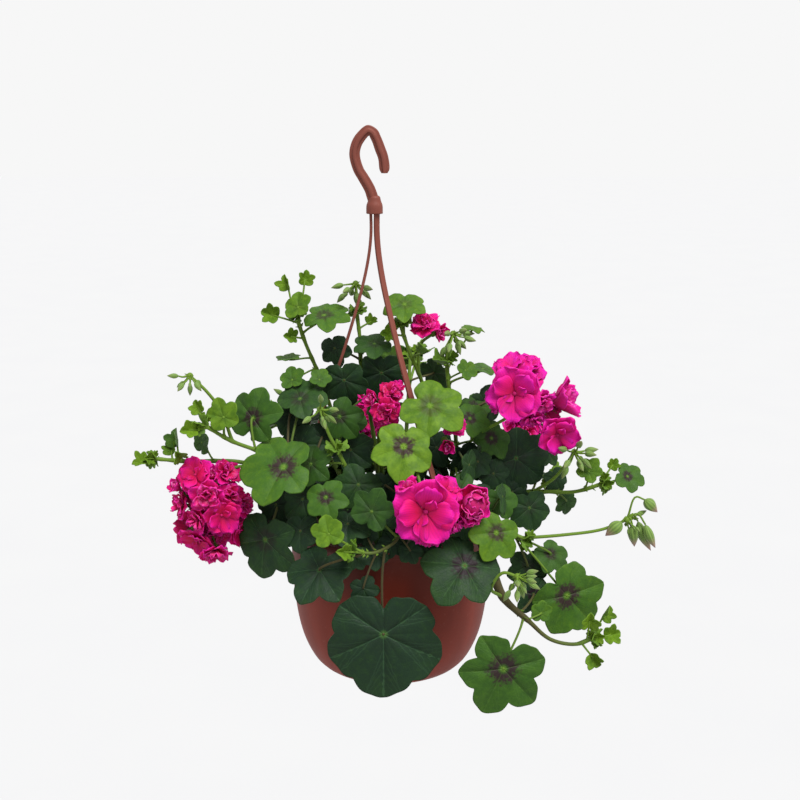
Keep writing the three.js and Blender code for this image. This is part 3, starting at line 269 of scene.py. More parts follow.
            (-31, -118, 154, -10, 30, 30, 14, 0.9, 0.1), (19, -114, 159, 5, 40, 20, 14, 0.97, 0.1),
            (3, -106, 165, 0, 30, -20, 17, 0.97, 0.1),
        ],
    ),
    "front_left": dict(
        route=[(-22, -44), (-32, -58, 180), (-42, -74, 226), (-50, -76, 246)],
        leaves=[
            (-60, -106, 209, -10, 32, 20, 24, 0.4, 1, -0.05), (-30, -90, 216, -5, 20, -30, 27, 0.8, 0.2),
            (-76, -76, 232, -25, 25, 60, 24, 0.6, 0.4), (-40, -104, 182, -15, 50, 10, 25, 0.9, 0.2),
            (-12, -86, 180, 0, 32, 0, 19, 0.95, 0.2), (-11, -97, 176, 5, 25, 10, 22, 0.5, 0.2),
        ],
        umbels=[(0.97, [(-58, -77, 262)], (-66, -77, 286), 25, -25, 17, 5)],
    ),
    "centre_right": dict(
        route=[(28, -34), (22, -52, 180), (16, -66, 222), (16, -72, 244)],
        leaves=[
            (13, -97, 256, 4, 32, -10, 34, 0.1, 1, -0.06), (32, -100, 178, 10, 45, -10, 20, 0.9, 0.2),
            (9, -97, 191, -5, 50, 20, 23, 0.9, 0.2), (-5, -34, 196, 5, 15, 0, 22, 0.97, 0.2),
        ],
        blooms={
            "bloom_front": (0.84, [(20, -92, 240), (27, -108, 228)], (30, -118, 207), [
                (33, -142, 206, 2, 4, 32, "open"), (17, -126, 219, -30, 30, 18),
                (53, -124, 223, 30, 40, 16, "open"), (37, -128, 176, 5, -40, 16), (60, -122, 189, 55, -8, 13),
                (28, -104, 201, 180, 10, 17),
            ]),
        },
    ),
}
WOODY, SLENDER = ("right_lower", "front"), "front"  # stems with old brown wood, and the thin one
# The stems behind: azimuth of growth from +X towards +Y, how far out root and tip are, height of the tip,
# seed, and whether buds or a bloom stand on the stem.
BACK_STEMS = {
    "back_right": (22, 50, 185, 170, 23, "bloom"),
    "back_high": (72, 44, 110, 300, 31, "buds"),
    "back_low": (100, 64, 172, 140, 47, "bloom"),
    "back_left": (142, 56, 165, 225, 67, "buds"),
}
BACK_CREST, BACK_RISE = 190, 178  # how high one rises at least, and how high it crosses the rim
BACK_TONES, BACK_ZONES = (0.45, 0.75, 0.9, 0.35), (1, 0.4, 0.3, 0.8)
HEAD_SHARE = 0.66  # where the stalk of its buds or bloom leaves it
HEAD_OUT, HEAD_UP = 26, 34
# Small old leaves low on the stems, which fill the inside of the plant: how many on a stem of the show side
# and on one behind, the stems of the show side that have them, and the lowest place over the compost.
LOW_LEAVES, LOW_LEAVES_BEHIND = 3, 7
LOW_LEAVED = [*STEMS][:8]
ABOVE_COMPOST = 150
ANY_TURN = 0, 6.28


def dice(seed):
    """Draws that come out the same on every run."""
    state = seed * 7919 + 17
    modulus = 2 ** 31 - 1

    def draw(low, high):
        nonlocal state
        state = state * 16807 % modulus
        return low + (high - low) * state / modulus

    return draw


# ---- Lines and directions ----


def looking(azimuth, elevation):
    """The direction that an azimuth from the show side and a height above the level look in."""
    a, e = radians(azimuth), radians(elevation)
    return Vector((sin(a) * cos(e), -cos(a) * cos(e), sin(e)))


def facing(azimuth, elevation, roll=0):
    """Tip, across and face directions of a blade."""
    normal = looking(azimuth, elevation)
    down = looking(azimuth, elevation - 90)
    turn = radians(roll)
    tip = down * cos(turn) + normal.cross(down) * sin(turn)
    return tip, normal.cross(tip), normal


def spread(count, azimuth, elevation, widest):
    """Even directions round one that is looked in."""
    tip, across, normal = facing(azimuth, elevation)
    made = []
    for i in range(count):
        lean = radians(widest) * sqrt((i + 0.5) / count)
        turn = i * pi * (3 - sqrt(5))
        side = tip * cos(turn) + across * sin(turn)
        made.append(normal * cos(lean) + side * sin(lean))
    return made


class Line:
    """A centripetal curve through places, read by the share of its length."""

    def __init__(self, places, closeness=24):
        ends = [2 * places[0] - places[1], *places, 2 * places[-1] - places[-2]]
        self.samples = [places[0]]
        for four in zip(ends, ends[1:], ends[2:], ends[3:]):
            self.samples += [self.between(*four, k / closeness) for k in range(1, closeness + 1)]
        self.reach = [0.0]
        for a, b in zip(self.samples, self.samples[1:]):
            self.reach.append(self.reach[-1] + (b - a).length)
        self.length = self.reach[-1]

    @staticmethod
    def between(p0, p1, p2, p3, t):
        d0, d1, d2 = (max((b - a).length ** 0.5, 1e-4) for a, b in ((p0, p1), (p1, p2), (p2, p3)))
        m1 = ((p1 - p0) / d0 - (p2 - p0) / (d0 + d1) + (p2 - p1) / d1) * d1
        m2 = ((p2 - p1) / d1 - (p3 - p1) / (d1 + d2) + (p3 - p2) / d2) * d1
        a, b = 2 * p1 - 2 * p2 + m1 + m2, 3 * p2 - 3 * p1 - 2 * m1 - m2
        return ((a * t + b) * t + m1) * t + p1

    def at(self, share):
        want = min(max(share, 0), 1) * self.length
        i = min(bisect_left(self.reach, want, 1), len(self.reach) - 1)
        step = self.reach[i] - self.reach[i - 1]
        past = (want - self.reach[i - 1]) / step if step else 0
        return self.samples[i - 1].lerp(self.samples[i], past)

    def evenly(self, steps):
        return [self.at(i / steps) for i in range(steps + 1)]

    def along(self, share):
        return (self.at(share + 0.005) - self.at(share - 0.005)).normalized()

    def nearest(self, place, back):
        """The point nearest to a place, moved back towards the root, and its share of the length."""
        best = min(range(41), key=lambda i: (self.at(i / 40) - place).length) / 40
        share = min(max(best - back / self.length, 0.12), 0.995)
        return self.at(share), share


def stem_line(route):
    return Line([Vector((*place, ROOT_Z)[:3]) for place in route])


def outwards(place):
    """The azimuth from the show side that looks from the pot's axis to a place."""
    return degrees(atan2(place.y, place.x)) + 90


def back_stem(azimuth, root, reach, tip, seed, ends):
    """A stem behind: it rises from its root, arches over the rim and falls or climbs to its tip."""
    draw = dice(seed)
    out = looking(azimuth + 90, 0)
    side = Vector((-out.y, out.x, 0))
    sway = draw(-12, 12)
    crest = max(tip, BACK_CREST)
    route = []
    for share, z, bend in (
        (0, ROOT_Z, 0), (0.12, BACK_RISE, 0.2), (0.5, 0.5 * crest + 100, 0.6),
        (0.8, 0.45 * crest + 0.55 * tip, 0.9), (1, tip, 1),
    ):
        place = out * (root + share * (reach - root)) + side * bend * sway
        route.append((place.x, place.y, z))
    line = stem_line(route)
    leaves = []
    for i, (tone, zone) in enumerate(zip(BACK_TONES, BACK_ZONES)):
        share = 0.34 + 0.2 * i
        hand = 1 if i % 2 else -1
        radius = draw(29, 34) - 8 * share
        place = line.at(share) + side * hand * draw(0.8, 1.1) * radius
        place += out * draw(0.3, 0.9) * radius
        place.z += draw(-0.5, 0.9) * radius
        turned = outwards(place) + draw(-15, 15), draw(5, 55), hand * draw(-50, 50)
        leaves.append((*place, *turned, radius, tone, zone, -0.09))
    young = line.at(1) + out * draw(4, 14)
    young += side * draw(-12, 12)
    young.z += draw(2, 12)
    leaves.append((*young, azimuth + 90 + draw(-40, 40), draw(10, 40), draw(120, 240), draw(8, 12), 0.05, 0))
    start = line.at(HEAD_SHARE + 0.04)
    bend = start + out * 0.3 * HEAD_OUT + UP * 0.5 * HEAD_UP
    head = HEAD_SHARE, [bend], start + out * HEAD_OUT + UP * HEAD_UP
    plan = dict(route=route, leaves=leaves)
    if ends == "buds":
        return plan | dict(umbels=[(*head, azimuth + 90, 10, 18, 5)])
    florets = []
    for i, way in enumerate(spread(15, azimuth + 90, 20, 165)):
        look = degrees(atan2(way.x, -way.y)), degrees(asin(way.z))
        place = head[2] + way * draw(19, 26)
        florets.append((*place, *look, draw(14, 17), *(() if i % 3 else ("open",))))
    return plan | dict(florets=(*head, florets))


for name, plan in BACK_STEMS.items():
    STEMS[name] = back_stem(*plan)
    if "florets" in STEMS[name]:
        STEMS[name]["blooms"] = {name.replace("back", "bloom_back"): STEMS[name].pop("florets")}

# ---- Materials ----
# The Scale of a noise is 1000 over the width of its blotches in millimetres.

LOBE_TURN = radians(62)  # from one main vein of a leaf to the next
# Where a vein leaves the lobe's main vein, its lean from it in degrees, its half width, its strength.
VEINS = (
    (0, 0, 0.016, 1), (0.22, 21, 0.012, 0.4), (0.4, 27, 0.012, 0.34), (0.58, 33, 0.012, 0.3),
    (0.74, 38, 0.012, 0.22),
)
LEAF_TONES = (
    (0, "#577418"), (0.15, "#3d5a10"), (0.35, "#304f16"), (0.55, "#264213"), (0.8, "#1a3016"), (1, "#142618"),
)
STEM_TONES = (0, "#55701c"), (0.4, "#445a1a"), (0.72, "#3a311b"), (1, "#2c1a13")
PETAL_TONES = (0.05, "#80002a"), (0.3, "#a60038"), (0.6, "#b80052"), (1, "#bc0678")
COMPOST_TONES = (0.3, "#1d1510"), (0.55, "#3a2a1e"), (0.72, "#5a4636")
BLADE_MAP = "blade"
MIX_PLACES = 0, 6, 7  # the inputs of a colour mix among all of its inputs
OUTPUTS = {"Mix": 2, "Attribute": "Fac", "TexCoord": "Object"}  # where it isn't the first one


def shade(hex_colour):
    """An sRGB hex colour as linear numbers."""
    parts = [int(hex_colour[i:i + 2], 16) / 255 for i in (1, 3, 5)]
    linear = [c / 12.92 if c <= 0.04045 else ((c + 0.055) / 1.055) ** 2.4 for c in parts]
    return (*linear, 1)


def plug(tree, made, inputs):
    """Fills a node's inputs with sockets, numbers or hex colours."""
    for key, value in inputs:
        if isinstance(value, bpy.types.NodeSocket):
            tree.links.new(value, made.inputs[key])
        else:
            made.inputs[key].default_value = shade(value) if isinstance(value, str) else value


def node(tree, kind, *inputs, out=None, stops=(), **settings):
    """Adds a node, or by an operation in capitals a Math node, with its inputs, settings and ramp stops."""
    made = tree.nodes.new("ShaderNode" + ("Math" if kind.isupper() else kind))
    if kind.isupper():
        made.operation = kind
    if kind == "Mix":
        made.data_type = "RGBA"
    plug(tree, made, zip(MIX_PLACES if kind == "Mix" else range(3), inputs))
    for key, value in settings.items():
        if hasattr(made, key):
            setattr(made, key, value)
        else:
            plug(tree, made, [(key, value)])
    for i, (position, colour) in enumerate(stops):
        elements = made.color_ramp.elements
        stop = elements[i] if i < 2 else elements.new(position)
        stop.position, stop.color = position, shade(colour)
    return made.outputs[OUTPUTS.get(kind, 0) if out is None else out]


def material(name):
    """A new material and the maker of its nodes."""
    made = bpy.data.materials.new(name)
    made.use_nodes = True
    return made, partial(node, made.node_tree)


def dressed(mat, **inputs):
    """Fills the inputs of a material's shader; what is the same all over goes on its own sockets."""
    shader = mat.node_tree.nodes["Principled BSDF"]
    plug(mat.node_tree, shader, [(key.replace("_", " "), value) for key, value in inputs.items()])
    return mat


def leaf_material():
    """Living geranium blade: waxy cuticle over a fleshy leaf, so a soft broad sheen, paler veins sunk in
    the face, a feathery brown zone round the stalk's end and a bright spot in its middle."""
    mat, add = material("leaf_blade_waxy")
    where = add("TexCoord")
    uv = add("UVMap", uv_map=BLADE_MAP)
    zone, under, tone = (add("Attribute", attribute_name=name) for name in ("zone", "under", "tone"))
    u, v = (add("MULTIPLY_ADD", add("SeparateXYZ", uv, out=way), 2, -1) for way in "XY")
    out = add("SQRT", add("ADD", add("MULTIPLY", u, u), add("MULTIPLY", v, v)))
    blotch, mottle, fine = (
        add("TexNoise", where, Scale=1000 / wide, Detail=depth)
        for wide, depth in ((7, 3), (2.6, 3), (0.9, 2))
    )
    # The angle from the nearest main vein, and where that puts a spot along and beside it.
    half = LOBE_TURN / 2
    angle = add("ABSOLUTE", add("ARCTAN2", v, u))
    from_vein = add("SUBTRACT", half, add("PINGPONG", add("ADD", angle, half), half))
    sway = add("MULTIPLY", add("MULTIPLY_ADD", blotch, 0.1, -0.05), out)
    beside = add("ADD", add("MULTIPLY", out, add("SINE", from_vein)), sway)
    along = add("MULTIPLY", out, add("COSINE", from_vein))
    veins = 0
    for start, lean, width, strength in VEINS:
        lean = radians(lean)
        past = add("SUBTRACT", along, start)
        off = add("SUBTRACT", add("MULTIPLY", past, sin(lean)), add("MULTIPLY", beside, cos(lean)))
        line = add("SUBTRACT", 1, add("DIVIDE", add("ABSOLUTE", off), width), use_clamp=True)
        line = add("MULTIPLY", line, add("MULTIPLY_ADD", past, 25, 0, use_clamp=True))
        veins = add("MAXIMUM", veins, add("MULTIPLY", line, strength))
    net = add("TexVoronoi", uv, feature="DISTANCE_TO_EDGE", Scale=24)
    net = add("SUBTRACT", 1, add("DIVIDE", net, 0.1), use_clamp=True)
    tone = add("ADD", tone, add("MULTIPLY_ADD", blotch, 0.44, -0.22), use_clamp=True)
    base = add("ValToRGB", tone, stops=LEAF_TONES)
    young = add("ValToRGB", add("SUBTRACT", tone, 0.2), stops=LEAF_TONES)
    base = add("Mix", add("MULTIPLY", add("POWER", out, 4), 0.5, use_clamp=True), base, young)
    base = add("Mix", add("MULTIPLY_ADD", mottle, 1.6, -0.75, use_clamp=True), base, young)
    rays = add("ADD", add("MULTIPLY_ADD", from_vein, -0.07, 0.375), add("MULTIPLY_ADD", mottle, 0.44, -0.22))
    ring = add("MULTIPLY", add("SUBTRACT", rays, out), 7)
    ring = add("MINIMUM", ring, add("MULTIPLY_ADD", out, 16, -1), use_clamp=True)
    # Zone, veins, bright eye and underside, each in its colours on a young leaf and on an old one.
    for factor, on_young, on_old in (
        (add("MULTIPLY", add("MULTIPLY", ring, zone), 0.94), "#2e1c20", "#1a0f16"),
        (add("MULTIPLY", veins, add("MULTIPLY_ADD", tone, 0.34, 0.08)), "#5f7a2c", "#38563a"),
        (add("MULTIPLY", add("MULTIPLY_ADD", out, -16, 1.3, use_clamp=True), 0.85), "#647f22", "#3c5c28"),
        (add("MULTIPLY", under, 0.5), "#5d7c32", "#2e5028"),
    ):
        base = add("Mix", factor, base, add("Mix", tone, on_young, on_old))
    relief = add("MULTIPLY_ADD", veins, -1, add("MULTIPLY", net, -0.35))
    relief = add("ADD", relief, add("MULTIPLY", fine, 0.3))
    bump = add("Bump", Strength=0.6, Distance=0.45 * MM, Height=relief)
    rough = add("MULTIPLY_ADD", mottle, 0.2, 0.42)
    return dressed(mat, Base_Color=base, Normal=bump, Roughness=rough, Specular_IOR_Level=0.12)


def stem_material():
    """Fleshy green stem: a fine grain of short dull hairs, and browner where the wood is old."""
    mat, add = material("stem_fleshy_hairy")
    blotch, grain = (add("TexNoise", add("TexCoord"), Scale=1000 / wide, Detail=3) for wide in (5, 0.9))
    tone = add("Attribute", attribute_name="tone")
    tone = add("ADD", tone, add("MULTIPLY_ADD", blotch, 0.3, -0.15), use_clamp=True)
    base = add("ValToRGB", tone, stops=STEM_TONES)
    base = add("Mix", add("MULTIPLY", grain, 0.12), base, "#6c8440")
    bump = add("Bump", Strength=0.6, Distance=0.25 * MM, Height=grain)
    return dressed(mat, Base_Color=base, Normal=bump, Roughness=0.55, Specular_IOR_Level=0.14,
                   Sheen_Weight=0.03, Sheen_Roughness=0.5)


def bud_material():
    """Closed calyx: downy green with paler ribs, and a reddish tip on a ripe one."""
    mat, add = material("bud_calyx_downy")
    uv = add("UVMap", uv_map=BLADE_MAP)
    turn, along = (add("SeparateXYZ", uv, out=way) for way in "XY")
    grain = add("TexNoise", add("TexCoord"), Scale=1000 / 0.7, Detail=2)
    ribs = add("PINGPONG", add("MULTIPLY", turn, 10), 0.5)
    base = add("Mix", add("MULTIPLY", ribs, 1.4), "#3d5a1c", "#6f8a3a")
    tip = add("MULTIPLY_ADD", along, 2.6, -1.35, use_clamp=True)
    tip = add("MULTIPLY", tip, add("MULTIPLY_ADD", ribs, 0.7, 0.6))
    tip = add("MULTIPLY", tip, add("Attribute", attribute_name="zone"), use_clamp=True)
    base = add("Mix", tip, base, "#94606a")
    base = add("Mix", add("MULTIPLY", grain, 0.2), base, "#7c9050")
    bump = add("Bump", Strength=0.7, Distance=0.3 * MM, Height=add("ADD", ribs, grain))
    return dressed(mat, Base_Color=base, Normal=bump, Roughness=0.6, Specular_IOR_Level=0.25,
                   Sheen_Weight=0.12, Sheen_Roughness=0.5)


def petal_material():
    """Velvety magenta petal: crimson towards its foot, violet-pink and paler along its edge, with fine
    darker veins that fan out from the foot."""
    mat, add = material("petal_velvet_magenta")
    where = add("TexCoord")
    uv = add("UVMap", uv_map=BLADE_MAP)
    side, along = (add("SeparateXYZ", uv, out=way) for way in "XY")
    zone, under, hue = (add("Attribute", attribute_name=name) for name in ("zone", "under", "tone"))
    blotch, fine, flecks = (
        add("TexNoise", where, Scale=1000 / wide, Detail=depth)
        for wide, depth in ((9, 2), (0.8, 2), (2.4, 3))
    )
    across = add("ABSOLUTE", add("MULTIPLY_ADD", side, 2, -1))
    lines = add("PINGPONG", add("MULTIPLY_ADD", side, 11, add("MULTIPLY", fine, 0.5)), 0.5)
    veins = add("SUBTRACT", 1, add("MULTIPLY", lines, 3.2), use_clamp=True)
    flecks = add("MULTIPLY_ADD", flecks, 4, -1.7, use_clamp=True)
    rims = (add("MULTIPLY_ADD", at, 9, -start, use_clamp=True) for at, start in ((along, 8.1), (across, 8.2)))
    base = add("ADD", along, add("MULTIPLY_ADD", blotch, 0.4, -0.2))
    base = add("ValToRGB", base, stops=PETAL_TONES)
    # Veins, the lean to violet or to crimson, the inner petals' pale flecks, underside and rim.
    for factor, colour in (
        (add("MULTIPLY", veins, 0.3), "#80003a"),
        (add("MULTIPLY", hue, add("MULTIPLY", along, 0.5)), "#b00c90"),
        (add("MULTIPLY", hue, -0.8, use_clamp=True), "#a20030"),
        (add("MULTIPLY", flecks, zone), "#e58fc0"),
        (add("MULTIPLY", under, 0.3), "#bc3470"),
        (add("MULTIPLY", add("MAXIMUM", *rims), 0.3), "#c4288e"),
    ):
        base = add("Mix", factor, base, colour)
    bump = add("Bump", Strength=0.6, Distance=0.25 * MM, Height=add("ADD", lines, fine))
    return dressed(mat, Base_Color=base, Normal=bump, Roughness=0.65, Specular_IOR_Level=0.15,
                   Subsurface_Weight=0.3, Subsurface_Radius=(1, 0.15, 0.5), Subsurface_Scale=0.004)


def moulded_material(name, deep, lit, worn, roughness, painted_rim_shade=None):
    """Injection-moulded polypropylene: satin skin with faint flow streaks, dust and rubbed spots, and where
    a painted rim shade is given, a darker band below the rim: painted shade that stands for the shadow
    of the leaves over the pot's top."""
    mat, add = material(name)
    where = add("TexCoord")
    streak = add("TexNoise", add("Mapping", where, Scale=(1, 1, 0.2)), Scale=1000 / 18, Detail=4)
    speck = add("TexNoise", where, Scale=1000 / 1.2, Detail=3)
    grit = add("TexNoise", where, Scale=1000 / 4, Detail=6, Roughness=0.7)
    base = add("Mix", streak, deep, lit)
    base = add("Mix", add("MULTIPLY_ADD", grit, 3, -1.75, use_clamp=True), base, worn)
    # Painted shade: the band below the rim is darkened to stand for the shadow the leaves cast there.
    if painted_rim_shade:
        height = add("ADD", add("SeparateXYZ", where, out="Z"), add("MULTIPLY", streak, 0.03))
        band = add("MULTIPLY_ADD", height, 12, 5.3, use_clamp=True)
        base = add("Mix", add("MULTIPLY", band, 0.75), base, painted_rim_shade)
    bump = add("Bump", Strength=0.5, Distance=0.06 * MM, Height=speck)
    rough = add("MULTIPLY_ADD", grit, 0.2, roughness)
    return dressed(mat, Base_Color=base, Normal=bump, Roughness=rough, Specular_IOR_Level=0.18)


def soil_material():
    """Moist peat and bark compost: dark crumbs of a few millimetres with pale specks of perlite."""
    mat, add = material("potting_compost_moist")
    where = add("TexCoord")
    crumbs = add("TexVoronoi", where, Scale=1000 / 4)
    grain = add("TexNoise", where, Scale=1000 / 1.5, Detail=4)
    speck = add("TexNoise", where, Scale=1000 / 5, Detail=2)
    base = add("ValToRGB", grain, stops=COMPOST_TONES)
    base = add("Mix", add("MULTIPLY", add("GREATER_THAN", speck, 0.7), 0.6), base, "#a89a88")
    bump = add("Bump", Strength=1, Distance=3 * MM, Height=add("ADD", crumbs, grain))
    return dressed(mat, Base_Color=base, Normal=bump, Roughness=0.95)


def floor_material():
    """Matte pale card: no gloss, and blotches almost too faint to see."""
    mat, add = material("floor_matte_pale")
    grain = add("TexNoise", add("TexCoord"), Scale=1000 / 400, Detail=2)
    base = add("Mix", grain, "#ababab", "#a9a9aa")
    return dressed(mat, Base_Color=base, Roughness=1, Specular_IOR_Level=0)


LEAF, STEM, BUD = leaf_material(), stem_material(), bud_material()
PETAL = petal_material()
SOIL = soil_material()
# Its last colour is the painted shade of the band below the rim.
POT_PLASTIC = moulded_material("polypropylene_terracotta", "#5f1f13", "#7c2c1b", "#875044", 0.46, "#2c110c")
HANGER_PLASTIC = moulded_material("polypropylene_hanger", "#5e2d24", "#744136", "#8c6458", 0.42)

# ---- Mesh helpers ----
# A piece's materials: its first one (blade, petal or plastic), stem green, and the buds' calyx.
FIRST, GREEN, CALYX = 0, 1, 2


def fresh():
    """A bmesh with the map and the vertex values that every plant part carries."""
    bm = bmesh.new()
    bm.loops.layers.uv.new(BLADE_MAP)
    for key in ("tone", "zone", "under"):
        bm.verts.layers.float.new(key)
    bm.verts.layers.int.new("mark")
    return bm


def marked(bm, tone=0, zone=0, finish=FIRST):
    """Gives a part its values, its material and smooth faces."""
    layers = bm.verts.layers.float
    for vert in bm.verts:
        vert[layers["tone"]] = tone
        vert[layers["zone"]] = zone
    for face in bm.faces:
        face.material_index = finish
        face.smooth = True
    return bm


def as_mesh(bm, name="part"):
    mesh = bpy.data.meshes.new(name)
    bm.to_mesh(mesh)
    bm.free()
    return mesh


def put(whole, part, look=(), matrix=Matrix()):
    """Adds a part to a piece; a look is the part's tone, zone and material, and None keeps what it has."""
    mesh = as_mesh(part if look is None else marked(part, *look))
    mesh.transform(matrix)
    whole.from_mesh(mesh)
    bpy.data.meshes.remove(mesh)


def basis(place, x_axis, y_axis, z_axis):
    made = Matrix((x_axis, y_axis, z_axis)).transposed().to_4x4()
    made.translation = place
    return made


def towards(place, way, roll):
    """A frame whose Z runs that way."""
    side = way.orthogonal().normalized()
    side = (Matrix.Rotation(roll, 3, way) @ side).normalized()
    return basis(place, side, way.cross(side), way)


def finished(name, whole, materials, slot, *nodes):
    """Turns a piece's mesh into an object at the origin that rides on the root and stands for its nodes."""
    bmesh.ops.transform(whole, matrix=TO_SEAT, verts=whole.verts)
    mesh = as_mesh(whole, name)
    for mat in materials:
        mesh.materials.append(mat)
    piece = in_scene(name, mesh)
    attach(piece, "root")
    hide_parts(*nodes)


def hump(x):
    """1 at 0, and soon 0 to both sides."""
    return exp(-x * x)


def next_ring(bm, edges):
    """Draws a ring of edges out to a new one: its vertices and edges."""
    grown = bmesh.ops.extrude_edge_only(bm, edges=edges)["geom"]
    verts = {g for g in grown if isinstance(g, bmesh.types.BMVert)}
    return verts, [g for g in grown if isinstance(g, bmesh.types.BMEdge) and set(g.verts) <= verts]


def skin(rings, pointed=True):
    """A closed skin over rings of places: a circle drawn out ring by ring, closed to points or flat."""
    bm = fresh()
    mark = bm.verts.layers.int["mark"]
    first = bmesh.ops.create_circle(bm, segments=len(rings[0]), radius=1)["verts"]
    for i, vert in enumerate(first):
        vert[mark] = i
        vert.co = rings[0][i]
    start = edges = bm.edges[:]
    for ring in rings[1:]:
        verts, edges = next_ring(bm, edges)
        for vert in verts:
            vert.co = ring[vert[mark]]
    for end in (start, edges):
        face = bmesh.ops.contextual_create(bm, geom=end)["faces"]
        if pointed:
            bmesh.ops.poke(bm, faces=face)
    bmesh.ops.recalc_face_normals(bm, faces=bm.faces)
    return bm


# Sides of a tube, and the length between two of its rings.
STEM_SIDES, STALK_SIDES, THIN_SIDES = 16, 10, 8
STEM_STEP, STALK_STEP = 2.6, 2.5


def ways_along(places):
    """The way that a line runs at each of its places."""
    pairs = zip([places[0], *places], [*places[1:], places[-1]])
    return [(after - before).normalized() for before, after in pairs]


def frames_along(places):
    """Two directions square to a line, without twist, and its own, at each of its places."""
    side, made = None, []
    for way in ways_along(places):
        if side is None:
            side = way.orthogonal()
        side = (side - way * side.dot(way)).normalized()
        made.append((side, way.cross(side), way))
    return made


def tube(places, radii, sides):
    """A round tube through places, of a radius at each, with rounded ends."""
    turns = [2 * pi * k / sides for k in range(sides)]
    frames = frames_along(places)

    def ring(place, frame, radius):
        return [place + (frame[0] * cos(t) + frame[1] * sin(t)) * radius for t in turns]

    def cap(end, sign):
        beyond = places[end] + frames[end][2] * sign * radii[end] * 0.5
        return ring(beyond, frames[end], radii[end] * 0.55)

    return skin([cap(0, -1), *map(ring, places, frames, radii), cap(-1, 1)])


def thickened(bm, thickness):
    """An open sheet that faces up gets its thickness below it; its underside is marked."""
    bm.normal_update()
    if sum(face.normal.z for face in bm.faces) < 0:
        bmesh.ops.reverse_faces(bm, faces=bm.faces)
        bm.normal_update()
    under = bm.verts.layers.float["under"]
    grown = bmesh.ops.extrude_face_region(bm, geom=bm.faces[:], use_keep_orig=True)["geom"]
    for vert in [g for g in grown if isinstance(g, bmesh.types.BMVert)]:
        vert.co -= vert.normal * thickness
        vert[under] = 1
    bmesh.ops.recalc_face_normals(bm, faces=bm.faces)
    return bm


def ball(radius, subdivisions=3):
    bm = fresh()
    bmesh.ops.create_icosphere(bm, subdivisions=subdivisions, radius=radius)
    return bm


def spike(foot, tip, length, flat):
    """A slender cone, flattened to shares of its breadth."""
    bm = fresh()
    bmesh.ops.create_cone(bm, cap_ends=True, segments=8, radius1=foot, radius2=tip, depth=length)
    bmesh.ops.scale(bm, vec=flat, verts=bm.verts)
    return bm


# ---- Leaves ----
# A blade's own frame: tip along X, face along Z, the end of its stalk at the origin.

SINUS_TURN = radians(9)
WIDE_LEAF = 50  # radius from which a leaf's lobes are shallow
SPLIT_LEAF = 31  # radius above which its sinus is deep
THICK_LEAF = 24  # radius above which its blade is thicker
THICK_BLADE, THIN_BLADE = 0.75, 0.6
STIPULE_SHEET = 0.18
LEAF_STALK_STEPS, YOUNG_STALK_STEPS = 12, 6
# Above each radius: segments round a leaf, and the shares of its radius at which its rings lie.
LEAF_RINGS = (
    (44, 128, (1, 0.97, 0.9, 0.8, 0.69, 0.58, 0.47, 0.36, 0.25, 0.14, 0.06)),
    (24, 80, (1, 0.96, 0.86, 0.73, 0.58, 0.42, 0.26, 0.1)),
    (14, 60, (1, 0.94, 0.8, 0.6, 0.36, 0.12)),
    (0, 36, (1, 0.9, 0.62, 0.25)),
)


def leaf_reach(angle, lobes, notches, point, split):
    """The share of its radius that a leaf reaches at an angle from its tip: five lobes and a sinus."""
    number = max(-2, min(2, round(angle / LOBE_TURN)))
    offset = 2 * angle / LOBE_TURN - 2 * number
    depth = notches[number + (3 if offset > 0 else 2)]
    if abs(offset) > 1:
        offset = 1 + 0.5 * (abs(offset) - 1)
    shape = 1 - depth * min(abs(offset), 1.25) ** point + 0.01 * cos(3 * pi * offset)
    sinus = (0.36 if split else 0.26) * hump((pi - abs(angle)) / SINUS_TURN)
    return (0.89 + 0.13 * cos(angle)) * lobes[number + 2] * shape * (1 - sinus)


def leaf_height(u, v, radius, curl):
    """How far a cupped blade, raised between its main veins, stands up at a place."""
    out = hypot(u, v) / radius
    return radius * out * out * (curl - 0.05 * cos(2 * pi * atan2(v, u) / LOBE_TURN))


